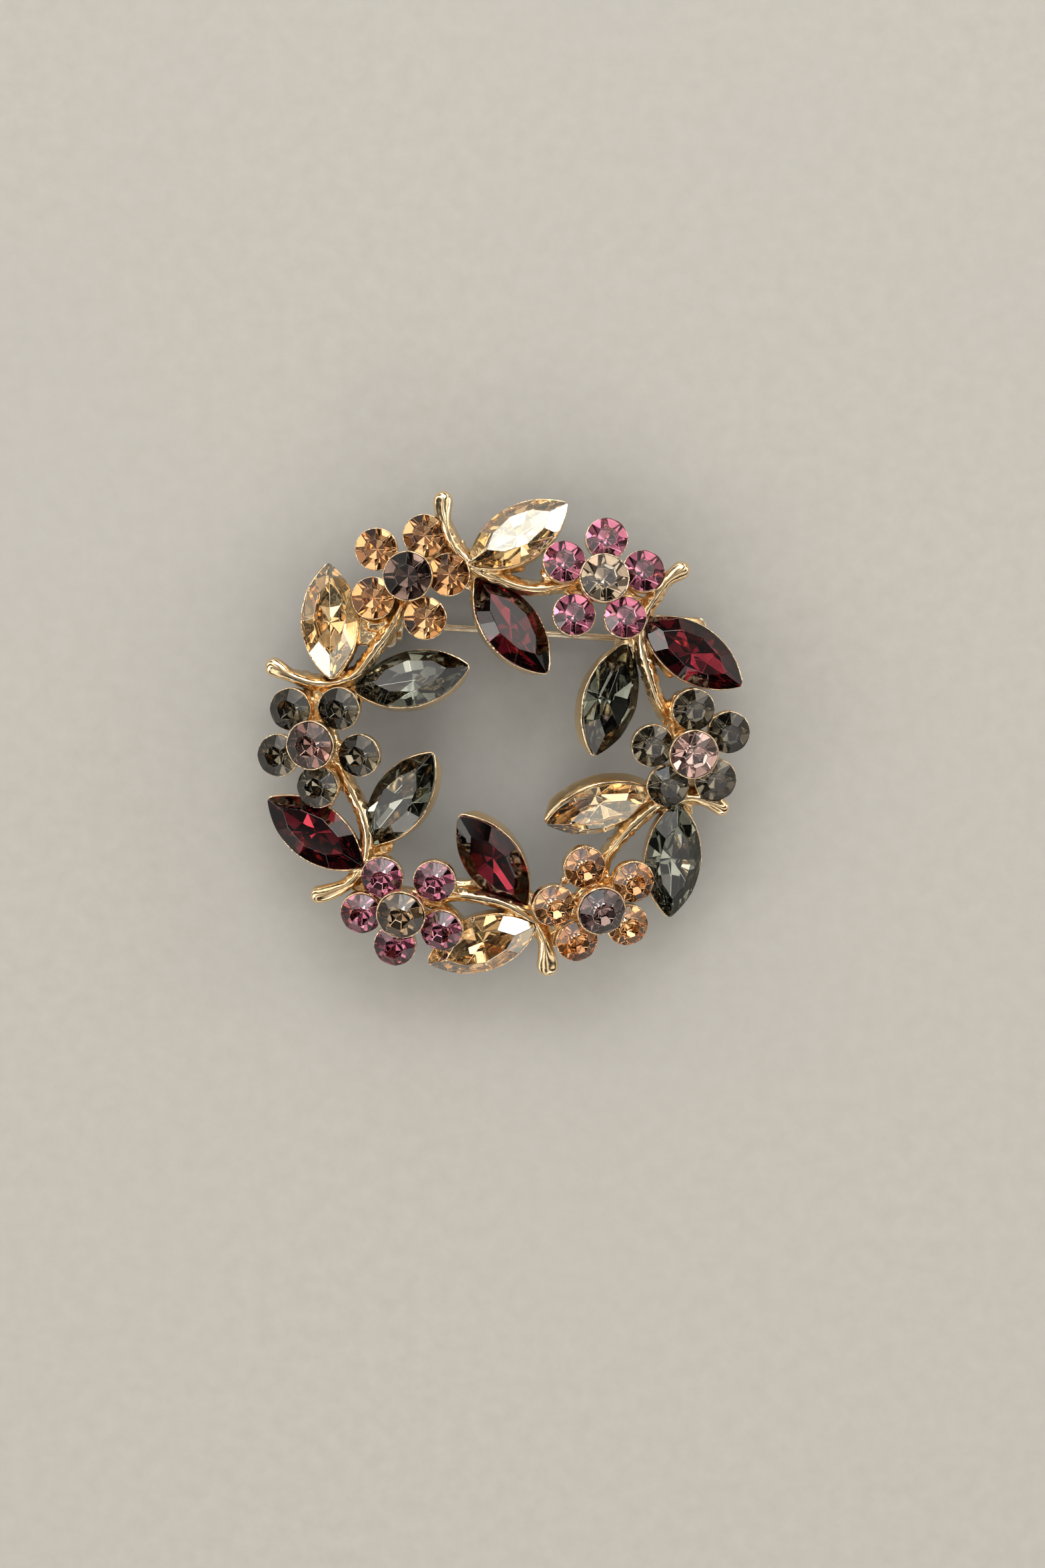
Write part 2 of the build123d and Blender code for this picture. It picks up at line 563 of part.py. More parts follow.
def make_catch_body():
    """Split ring on a foot, open at the back."""
    foot = Box(CATCH_L, FOOT_W, PIN_DROP - FITTING_T + OVERLAP - FOOT_Z, align=UPWARD)
    body = ALONG_X * Cylinder(CATCH_OD / 2, CATCH_L) + Pos(0, 0, FOOT_Z) * foot
    body -= ALONG_X * Cylinder(CATCH_ID / 2, CATCH_L * 2)
    body -= Box(CATCH_L * 2, CATCH_SLOT, CATCH_OD, align=DOWNWARD)
    return catch_place * body + rounded_plate(*CATCH_PLATE, CATCH_PLATE_R)


def make_rotor():
    """Slotted collar that turns inside the catch, with a flange at each end and a tab."""
    core = ALONG_X * Cylinder(ROTOR_D / 2, 2 * ROTOR_HALF)
    near = Cylinder(CATCH_OD / 2, FLANGE_T, align=UPWARD)
    near = Pos(ROTOR_HALF, 0, 0) * ALONG_X * near
    rim = near.edges().filter_by(GeomType.CIRCLE).sort_by(Axis.X)[-1]
    near = chamfer(rim, FLANGE_CHAMFER)
    far = Cylinder(FAR_FLANGE_R, FAR_FLANGE_T, align=DOWNWARD)
    far = Pos(-ROTOR_HALF, 0, 0) * ALONG_X * far
    tab = Box(*TAB_SIZE, align=(Align.MIN, Align.MIN, Align.CENTER))
    tab = fillet(tab.edges().filter_by(Axis.X).group_by(Axis.Y)[-1], TAB_R)
    rotor = core + near + far + Pos(ROTOR_HALF, TAB_Y, 0) * tab
    rotor -= ALONG_X * Cylinder(ROTOR_BORE / 2, CATCH_L * 3)
    rotor -= Box(CATCH_L * 3, ROTOR_SLOT, CATCH_OD, align=DOWNWARD)
    return rotor


parts["hinge_plate"] = fitting * one(make_hinge())
parts["hinge_rivet"] = fitting * one(make_rivet())
parts["pin_stem"] = fitting * one(make_pin())
parts["catch_body"] = fitting * one(make_catch_body())
parts["catch_rotor"] = fitting * catch_place * one(make_rotor())

# ---------------------------------------------------------------- files
os.makedirs("parts", exist_ok=True)
for name, shape in parts.items():
    export_step(Pos(*ORIGIN_SHIFT) * shape, f"parts/{name}.step")
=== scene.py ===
import json
import math

import bmesh
import bpy
import numpy as np
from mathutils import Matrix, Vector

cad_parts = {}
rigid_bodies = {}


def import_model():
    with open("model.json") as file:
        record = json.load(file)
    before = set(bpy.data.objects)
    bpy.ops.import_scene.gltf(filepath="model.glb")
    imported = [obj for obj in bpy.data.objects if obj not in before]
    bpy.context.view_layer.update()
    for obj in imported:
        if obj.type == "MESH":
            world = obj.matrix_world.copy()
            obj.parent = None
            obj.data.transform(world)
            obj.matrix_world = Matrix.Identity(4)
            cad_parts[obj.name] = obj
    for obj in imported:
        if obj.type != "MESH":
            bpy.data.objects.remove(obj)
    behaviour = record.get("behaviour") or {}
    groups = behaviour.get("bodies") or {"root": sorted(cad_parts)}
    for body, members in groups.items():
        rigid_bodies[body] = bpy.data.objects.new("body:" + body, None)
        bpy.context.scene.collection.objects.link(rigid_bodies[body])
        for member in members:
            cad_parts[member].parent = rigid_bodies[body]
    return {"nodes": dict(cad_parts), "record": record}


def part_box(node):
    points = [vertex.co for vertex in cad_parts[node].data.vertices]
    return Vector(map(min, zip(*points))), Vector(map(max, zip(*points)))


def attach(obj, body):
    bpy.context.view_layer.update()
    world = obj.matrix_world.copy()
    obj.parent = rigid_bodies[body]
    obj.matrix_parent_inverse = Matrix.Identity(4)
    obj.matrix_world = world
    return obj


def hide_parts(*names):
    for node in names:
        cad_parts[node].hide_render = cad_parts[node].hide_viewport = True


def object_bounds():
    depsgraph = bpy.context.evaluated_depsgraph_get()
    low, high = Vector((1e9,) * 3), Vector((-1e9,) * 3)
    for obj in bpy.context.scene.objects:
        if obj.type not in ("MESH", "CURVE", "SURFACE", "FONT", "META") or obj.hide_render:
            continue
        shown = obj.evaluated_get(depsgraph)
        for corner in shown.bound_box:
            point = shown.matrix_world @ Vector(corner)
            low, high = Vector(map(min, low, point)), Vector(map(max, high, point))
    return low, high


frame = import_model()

import openvdb
from mathutils import Vector

# Everything below is worked in millimetres and turned into metres when a mesh is made.
MM = 0.001
CAD_LO, CAD_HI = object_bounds()
NODES = frame["nodes"]
FRONT = "brooch_front"
SLOT = {s["node"]: s["material_slot"] for s in frame["record"]["subparts"]}
SCENE = bpy.context.scene

# The casting is worked about the middle of the wreath, with z = 0 on its flat back. OFFSET takes that to the row frame:
# the casting's own CAD box gives it.
CAST_LO = np.array([-22.429, -20.9215, 0.0])
OFFSET = np.array(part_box("wreath_frame")[0]) / MM - CAST_LO

# Stem ridges of the casting, flower to bud: x, y, height, ridge width, as the CAD model has them.
STEMS = {
    1: [(-9.1, 13.85, 2.4, 0.73), (-9.28, 13.14, 2.7, 0.73), (-10.18, 11.26, 3.0, 0.73), (-11.63, 9.2, 3.2, 0.7), (-13.24, 7.13, 3.3, 0.7), (-14.85, 6.33, 3.3, 0.7), (-16.49, 6.09, 3.3, 0.7), (-17.95, 6.33, 3.3, 0.8), (-19.28, 6.82, 3.3, 1.1), (-20.26, 7.34, 3.3, 1.53), (-20.93, 7.67, 3.2, 1.71), (-21.3, 7.83, 3.0, 1.47)],
    2: [(6.85, 15.44, 2.4, 0.73), (6.05, 15.22, 2.7, 0.73), (4.41, 14.88, 3.0, 0.73), (2.7, 14.76, 3.1, 0.73), (0.88, 15.14, 3.2, 0.7), (-0.64, 15.76, 3.3, 0.7), (-2.15, 16.39, 3.6, 0.7), (-3.36, 17.47, 4.1, 0.7), (-4.14, 18.35, 4.5, 0.73), (-4.81, 19.51, 4.55, 0.8), (-5.23, 20.73, 4.4, 1.1), (-5.48, 21.93, 4.1, 1.53), (-5.45, 22.83, 3.9, 1.71), (-5.43, 23.25, 3.7, 1.47)],
    3: [(14.88, 3.05, 2.4, 0.73), (14.38, 3.95, 2.8, 0.73), (13.76, 5.33, 3.1, 0.73), (12.91, 8.29, 3.3, 0.7), (12.54, 10.25, 3.3, 0.7), (12.6, 11.3, 3.4, 0.7), (12.96, 12.71, 3.5, 0.7), (13.81, 14.13, 3.6, 0.8), (14.72, 15.41, 3.5, 1.1), (15.58, 16.13, 3.4, 1.47), (16.19, 16.49, 3.3, 1.65), (16.5, 16.6, 3.1, 1.35)],
    4: [(8.61, -11.3, 2.4, 0.73), (9.09, -10.38, 2.8, 0.73), (9.7, -9.37, 3.0, 0.73), (10.6, -8.25, 3.2, 0.7), (11.51, -7.19, 3.3, 0.7), (12.54, -6.21, 3.3, 0.7), (13.94, -5.11, 3.3, 0.7), (15.88, -4.49, 3.4, 0.73), (17.34, -4.3, 3.4, 0.86), (18.62, -4.68, 3.3, 1.16), (19.47, -5.06, 3.2, 1.41), (20.02, -5.32, 3.1, 1.53), (20.28, -5.47, 2.9, 1.22)],
    5: [(-6.12, -13.63, 2.4, 0.73), (-5.32, -13.45, 2.8, 0.73), (-3.98, -13.34, 3.1, 0.73), (-2.16, -13.57, 3.2, 0.73), (-0.64, -13.86, 3.3, 0.73), (0.64, -14.34, 3.4, 0.73), (1.85, -15.01, 3.4, 0.73), (2.76, -15.74, 3.4, 0.77), (3.43, -16.78, 3.4, 0.92), (3.8, -17.88, 3.4, 1.22), (3.98, -19.0, 3.3, 1.71), (4.04, -19.89, 3.1, 1.96), (4.04, -20.41, 2.9, 1.65)],
    6: [(-15.07, -1.48, 2.4, 0.73), (-14.58, -2.36, 2.8, 0.73), (-13.64, -4.28, 3.1, 0.73), (-12.79, -6.04, 3.2, 0.7), (-12.42, -7.8, 3.3, 0.7), (-12.5, -9.58, 3.3, 0.73), (-12.97, -10.92, 3.3, 0.8), (-14.0, -12.09, 3.3, 1.04), (-15.16, -12.77, 3.2, 1.35), (-16.38, -13.22, 3.1, 1.59), (-17.11, -13.36, 3.0, 1.53), (-17.42, -13.45, 2.8, 1.22)],
}
FLOWER_C = {1: (-8.54, 16.12, 3.9), 2: (9.03, 15.66, 3.9), 3: (17.16, 0.07, 3.9), 4: (8.42, -13.99, 4.3), 5: (-9.22, -14.51, 4.1), 6: (-17.05, 0.82, 4.1)}
ELBOWS = {1: 6, 2: 8, 3: 6, 4: 8, 5: 8, 6: 6}
STEM_WEB = [(-18.4, 6.4), (-17.42, 6.15), (-14.37, 6.4), (-14.13, 4.55), (-16.93, 2.83), (-18.1, 4.1)]
NARROW_STEM_WEB = [(-17.3, 5.9), (-14.37, 6.4), (-14.13, 4.55), (-16.4, 3.2), (-17.3, 4.3)]  # third and fourth stems
LEAF_RIB = [(-15.82, 6.3), (-15.21, 6.18), (-13.87, 8.15), (-13.26, 9.62), (-13.69, 9.99), (-14.48, 8.58)]
FLOWER_ARM = [(-8.48, 13.33), (-9.06, 12.32), (-10.52, 11.26), (-12.14, 10.92), (-12.69, 11.94), (-11.08, 12.01), (-9.66, 13.01)]
CROTCH_WEB = [(-11.87, 5.98), (-11.78, 4.66), (-13.3, 4.13), (-14.72, 5.23), (-13.35, 6.12)]
CATCH_PAD = [(-13.7, 12.67), (-12.18, 14.02), (-8.76, 13.77), (-9.49, 11.93), (-10.59, 9.96), (-11.93, 9.59), (-13.52, 9.59)]
INNER_WEB = [(-4.86, -12.1), (-2.42, -12.1), (-1.56, -13.58), (-4.98, -13.58)]
BEAD_AT = (5.62, -11.86)
LEAF_HEADING = {
    "1_outer": 91.2, "1_inner": 12.2, "2_outer": 30.5, "2_inner": -53.2, "3_outer": -34.4, "3_inner": -106.5,
    "4_outer": -93.4, "4_inner": -166.2, "5_outer": -159.0, "5_inner": 125.4, "6_outer": 145.6, "6_inner": 54.8,
}


# ------------------------------------------------------------------ distance fields
class Field:
    """A block of signed distance in mm on a regular grid, with a second value that says how rough the cast skin is."""

    def __init__(self, lo, hi, step):
        self.lo, self.step = np.array(lo, float), float(step)
        self.n = [int(math.ceil((b - a) / step)) + 1 for a, b in zip(lo, hi)]
        self.d = np.full(self.n, 5.0, np.float32)
        self.m = np.zeros(self.n, np.float32)

    def window(self, lo, hi):
        a = np.clip(np.floor((np.array(lo) - self.lo) / self.step).astype(int), 0, np.array(self.n) - 1)
        b = np.clip(np.ceil((np.array(hi) - self.lo) / self.step).astype(int) + 1, 1, self.n)
        sl = tuple(slice(int(i), int(j)) for i, j in zip(a, b))
        ax = [(np.arange(i, j) * self.step + o).astype(np.float32) for i, j, o in zip(a, b, self.lo)]
        return sl, ax[0][:, None, None], ax[1][None, :, None], ax[2][None, None, :]

    def add(self, lo, hi, fn, k=0.25, rough=0.0):
        sl, x, y, z = self.window(lo, hi)
        new = fn(x, y, z)
        self.join(sl, new, k, rough)

    def join(self, sl, new, k, rough):
        old = self.d[sl]
        h = np.clip(0.5 + 0.5 * (old - new) / k, 0, 1)
        self.d[sl] = old + (new - old) * h - k * h * (1 - h)
        self.m[sl] += (rough - self.m[sl]) * h

    def cut(self, lo, hi, fn):
        sl, x, y, z = self.window(lo, hi)
        self.d[sl] = np.maximum(self.d[sl], -fn(x, y, z))

    def mesh(self, name, adapt=0.0):
        grid = openvdb.FloatGrid(5.0)
        grid.copyFromArray(self.d)
        pts, tris, quads = grid.convertToPolygons(0.0, adapt)
        pts = np.asarray(pts, float)
        pts = pts * self.step + self.lo
        faces = [tuple(int(i) for i in q) for q in quads] + [tuple(int(i) for i in t) for t in tris]
        me = bpy.data.meshes.new(name)
        me.from_pydata(((pts + OFFSET) * MM).tolist(), [], faces)
        bm = bmesh.new()
        bm.from_mesh(me)
        if bm.calc_volume(signed=True) < 0:
            bmesh.ops.reverse_faces(bm, faces=bm.faces)
            bm.to_mesh(me)
        bm.free()
        me.polygons.foreach_set("use_smooth", [True] * len(me.polygons))
        ob = bpy.data.objects.new(name, me)
        bpy.context.scene.collection.objects.link(ob)
        return ob


def skin_of(field, ob):
    """Writes how rough the cast skin is at each vertex, for the material."""
    co = np.zeros(len(ob.data.vertices) * 3, np.float32)
    ob.data.vertices.foreach_get("co", co)
    i = np.rint((co.reshape(-1, 3) / MM - OFFSET - field.lo) / field.step).astype(int)
    i = np.clip(i, 0, np.array(field.n) - 1)
    a = ob.data.attributes.new("cast_skin", "FLOAT", "POINT")
    a.data.foreach_set("value", np.clip(field.m[i[:, 0], i[:, 1], i[:, 2]], 0, 1).astype(np.float32))


def smax(a, b, k=0.08):
    h = np.clip(0.5 - 0.5 * (b - a) / k, 0, 1)
    return b + (a - b) * h + k * h * (1 - h)


def capsule(a, b, r0, r1=None):
    a, b = np.array(a, float), np.array(b, float)
    r1 = r0 if r1 is None else r1
    ab = b - a
    L2 = float(ab @ ab)

    def fn(x, y, z):
        t = np.clip(((x - a[0]) * ab[0] + (y - a[1]) * ab[1] + (z - a[2]) * ab[2]) / L2, 0, 1)
        return np.sqrt((x - a[0] - ab[0] * t) ** 2 + (y - a[1] - ab[1] * t) ** 2 + (z - a[2] - ab[2] * t) ** 2) - (r0 + (r1 - r0) * t)

    return fn


def box3(lo, hi, rad):
    c = [(p + q) / 2 for p, q in zip(lo, hi)]
    h = [(q - p) / 2 - rad for p, q in zip(lo, hi)]

    def fn(x, y, z):
        qx, qy, qz = abs(x - c[0]) - h[0], abs(y - c[1]) - h[1], abs(z - c[2]) - h[2]
        out = np.sqrt(np.maximum(qx, 0) ** 2 + np.maximum(qy, 0) ** 2 + np.maximum(qz, 0) ** 2)
        return out + np.minimum(np.maximum(qx, np.maximum(qy, qz)), 0) - rad

    return fn


def rod(axis, centre, half, r, edge):
    """Cylinder along a grid axis, with rounded ends."""

    def fn(x, y, z):
        p = [x - centre[0], y - centre[1], z - centre[2]]
        w = abs(p.pop(axis)) - (half - edge)
        q = np.sqrt(p[0] ** 2 + p[1] ** 2) - (r - edge)
        return np.sqrt(np.maximum(q, 0) ** 2 + np.maximum(w, 0) ** 2) + np.minimum(np.maximum(q, w), 0) - edge

    return fn


def outline(points, z0, z1, edge=0.1):
    """Flat plate with a polygon outline."""
    pts = np.array(points, float)

    def fn(x, y, z):
        x2, y2 = np.broadcast_arrays(x[:, :, 0], y[:, :, 0])
        d = np.full(x2.shape, 1e9)
        inside = np.zeros(x2.shape, bool)
        for (ax, ay), (bx, by) in zip(pts, np.roll(pts, -1, 0)):
            ex, ey = bx - ax, by - ay
            t = np.clip(((x2 - ax) * ex + (y2 - ay) * ey) / (ex * ex + ey * ey), 0, 1)
            d = np.minimum(d, np.hypot(x2 - ax - ex * t, y2 - ay - ey * t))
            inside ^= ((ay > y2) != (by > y2)) & (x2 < (bx - ax) * (y2 - ay) / ((by - ay) if by != ay else 1e-9) + ax)
        q = (np.where(inside, -d, d) + edge)[:, :, None]
        w = np.maximum(z - z1, z0 - z) + edge
        return (np.sqrt(np.maximum(q, 0) ** 2 + np.maximum(w, 0) ** 2) + np.minimum(np.maximum(q, w), 0) - edge).astype(np.float32)

    return fn


def ripples(seed, count, low, high):
    """Fixed set of plane waves, summed: an even, dimpled noise with wavelengths from low to high mm."""
    rng = np.random.default_rng(seed)
    v = rng.normal(size=(count, 3))
    v /= np.linalg.norm(v, axis=1)[:, None]
    v *= (2 * math.pi / rng.uniform(low, high, count))[:, None]
    ph = rng.uniform(0, 2 * math.pi, count)

    def fn(x, y, z):
        out = 0
        for (a, b, c), p in zip(v, ph):
            out = out + np.sin(a * x + b * y + c * z + p)
        return out * math.sqrt(2.0 / count)

    return fn


# ------------------------------------------------------------------ the stones as the CAD has them
ROUND = {"petal": dict(r=1.88, crown=0.80, girdle=0.14, pav=1.55), "centre": dict(r=2.12, crown=0.92, girdle=0.14, pav=1.75)}
LEAF = dict(l=10.8, w=5.1, crown=0.98, girdle=0.22, pav=1.95)
STONES = {}
for node, ob in NODES.items():
    kind = node.split("_")[0]
    if kind not in ("petal", "centre", "leaf"):
        continue
    me = ob.data
    nrm = np.array([p.normal for p in me.polygons])
    area = np.array([p.area for p in me.polygons])
    mid = np.array([p.center for p in me.polygons]) / MM - OFFSET
    off = (nrm * mid).sum(1)
    keys, planes = {}, []
    for i, (n, d) in enumerate(zip(nrm, off)):
        k = tuple(np.rint(n * 40).astype(int)) + (int(round(d * 25)),)
        keys.setdefault(k, []).append(i)
    groups = sorted(keys.values(), key=lambda g: -area[g].sum())
    for g in groups:
        w = area[g] / area[g].sum()
        n = (nrm[g] * w[:, None]).sum(0)
        planes.append((n / np.linalg.norm(n), float((off[g] * w).sum())))
    co = np.array([v.co for v in me.vertices]) / MM - OFFSET
    # the table is the facet plane with a positive Z normal that holds the most area
    top = max((g for g in groups if nrm[g[0]][2] > 0.6), key=lambda g: area[g].sum() * (nrm[g[0]][2] ** 2))
    w = area[top] / area[top].sum()
    axis = (nrm[top] * w[:, None]).sum(0)
    axis /= np.linalg.norm(axis)
    table_mid = (mid[top] * w[:, None]).sum(0)
    dims = LEAF if kind == "leaf" else ROUND[kind]
    centre = table_mid - axis * dims["crown"]
    if kind == "leaf":
        q = co - centre
        q = q - np.outer(q @ axis, axis)
        u = q[np.argmax((q**2).sum(1))]
        u /= np.linalg.norm(u)
        if u @ np.array([centre[0], centre[1], 0]) < 0:
            u = -u
    else:
        u = np.array([1.0, 0, 0]) - axis * axis[0]
        u /= np.linalg.norm(u)
    v = np.cross(axis, u)
    STONES[node] = dict(kind=kind, n=axis, u=u, v=v, c=centre, planes=planes, co=co)


def local(s, x, y, z):
    px, py, pz = x - s["c"][0], y - s["c"][1], z - s["c"][2]
    return [px * a[0] + py * a[1] + pz * a[2] for a in (s["u"], s["v"], s["n"])]


def solid_of(s, grow):
    def fn(x, y, z):
        out = None
        for n, d in s["planes"]:
            q = x * n[0] + y * n[1] + z * n[2] - (d + grow)
            out = q if out is None else np.maximum(out, q)
        return out

    return fn


# ------------------------------------------------------------------ shapes the casting is made of
def lathe(s, rows, edge=0.06):
    """Turned shape about a stone's axis. rows: (height on the axis, radius), top first."""
    ws, rs = [r[0] for r in rows][::-1], [r[1] for r in rows][::-1]

    def fn(x, y, z):
        a, b, w = local(s, x, y, z)
        q = (np.sqrt(a * a + b * b) - np.interp(w, ws, rs)) * 0.86
        return smax(q, np.maximum(w - ws[-1], ws[0] - w), edge).astype(np.float32)

    return fn


def boat(s, rows, edge=0.07):
    """Marquise-shaped cup. rows: (height on the axis, how far the outline stands outside the stone), top first."""
    ws, gs = [r[0] for r in rows][::-1], [r[1] for r in rows][::-1]
    rad = (LEAF["l"] ** 2 / 4 + LEAF["w"] ** 2 / 4) / LEAF["w"]
    off = rad - LEAF["w"] / 2

    def fn(x, y, z):
        a, b, w = local(s, x, y, z)
        grow = np.interp(w, ws, gs)
        short = np.interp(w, [-2.4, -1.8, -0.45], [1.9, 0.85, 0.0])
        q = np.maximum(np.sqrt(a * a + (abs(b) + off) ** 2) - rad - grow, abs(a) - (LEAF["l"] / 2 - 0.12 + grow * 0.9 - short))
        return smax(q * 0.86, np.maximum(w - ws[-1], ws[0] - w), edge).astype(np.float32)

    return fn


def smooth_line(points, per):
    """Catmull-Rom curve through rows of numbers."""
    p = np.array(points, float)
    p = np.vstack([2 * p[0] - p[1], p, 2 * p[-1] - p[-2]])
    out = []
    for i in range(1, len(p) - 2):
        for t in np.arange(per) / per:
            a, b, c, d = p[i - 1 : i + 3]
            out.append(0.5 * (2 * b + (c - a) * t + (2 * a - 5 * b + 4 * c - d) * t * t + (3 * b - a - 3 * c + d) * t**3))
    return np.array(out + [p[-2]])


def along(line, x, y):
    """For a grid of plan points: distance to the line, the line's other columns there, and how far along it is."""
    x2, y2 = np.broadcast_arrays(x[:, :, 0], y[:, :, 0])
    best = np.full(x2.shape, 1e9)
    cols = [np.zeros(x2.shape) for _ in range(line.shape[1] - 2)]
    run, s = np.zeros(x2.shape), 0.0
    for p, q in zip(line[:-1], line[1:]):
        ex, ey = q[0] - p[0], q[1] - p[1]
        L = math.hypot(ex, ey)
        t = np.clip(((x2 - p[0]) * ex + (y2 - p[1]) * ey) / (L * L), 0, 1)
        d = np.hypot(x2 - p[0] - ex * t, y2 - p[1] - ey * t)
        m = d < best
        best = np.where(m, d, best)
        for c, (pc, qc) in zip(cols, zip(p[2:], q[2:])):
            c[m] = (pc + (qc - pc) * t)[m]
        run[m] = (s + L * t)[m]
        s += L
    return best[:, :, None], [c[:, :, None] for c in cols], run[:, :, None]


def add_stem(field, points):
    """Ridged stem that swells into a smooth bud at its end."""
    line = smooth_line(points, 6)
    gone = np.cumsum(np.hypot(*(np.diff(line[::-1, :2], axis=0).T)))
    line = line[: len(line) - int(np.searchsorted(gone, 0.42)) - 1]
    lo = [line[:, 0].min() - 1.6, line[:, 1].min() - 1.6, -0.3]
    hi = [line[:, 0].max() + 1.6, line[:, 1].max() + 1.6, line[:, 2].max() + 0.5]
    sl, x, y, z = field.window(lo, hi)
    s, (top, wide), run = along(line, x, y)
    bud = np.clip((wide - 0.75) / 0.75, 0, 1)
    bud = bud * bud * (3 - 2 * bud)
    depth = top - z
    stem = np.interp(depth, [0, 0.08, 0.30, 0.95, 2.2], [0.15, 0.25, 0.43, 0.69, 0.64])
    paddle = np.interp(depth, [0, 0.10, 0.28, 0.55, 0.85, 1.55], [0.13, 0.30, 0.43, 0.50, 0.52, 0.32])
    q = (s - stem * (1 - bud) - paddle * wide * bud) * 0.82
    d = smax(q, z - top, 0.05 + 0.12 * bud)
    base = (top - 1.55) * bud
    d = smax(d, base - z, 0.12)
    skin = np.clip((depth - 0.06) / 0.16, 0, 1) * (1 - bud)
    field.join(sl, d.astype(np.float32), 0.22, skin.astype(np.float32))


def add_ridge(field, points, k=0.25, rough=0.7):
    """Low round-topped rib. points: x, y, height of its top, width."""
    line = smooth_line(points, 5)
    lo = [line[:, 0].min() - 1.0, line[:, 1].min() - 1.0, -0.3]
    hi = [line[:, 0].max() + 1.0, line[:, 1].max() + 1.0, line[:, 2].max() + 0.5]
    sl, x, y, z = field.window(lo, hi)
    s, (top, wide), run = along(line, x, y)
    hw = np.interp(top - z, [0, 0.12, 0.35, 0.9], [0.22, 0.6, 0.92, 1.0]) * wide / 2
    d = smax((s - hw) * 0.85, z - top, 0.10)
    field.join(sl, smax(d, -z, 0.05).astype(np.float32), k, rough)


def turned(fn, x0, y0, degrees):
    """The same shape, standing at x0, y0 and turned about Z."""
    c, q = math.cos(math.radians(degrees)), math.sin(math.radians(degrees))
    return lambda x, y, z: fn((x - x0) * c + (y - y0) * q, -(x - x0) * q + (y - y0) * c, z)


def around(points, sixth):
    """Plan points of the first sixth of the wreath, turned to another sixth."""
    a = math.radians(-60 * sixth)
    return [(p[0] * math.cos(a) - p[1] * math.sin(a), p[0] * math.sin(a) + p[1] * math.cos(a)) + tuple(p[2:]) for p in points]


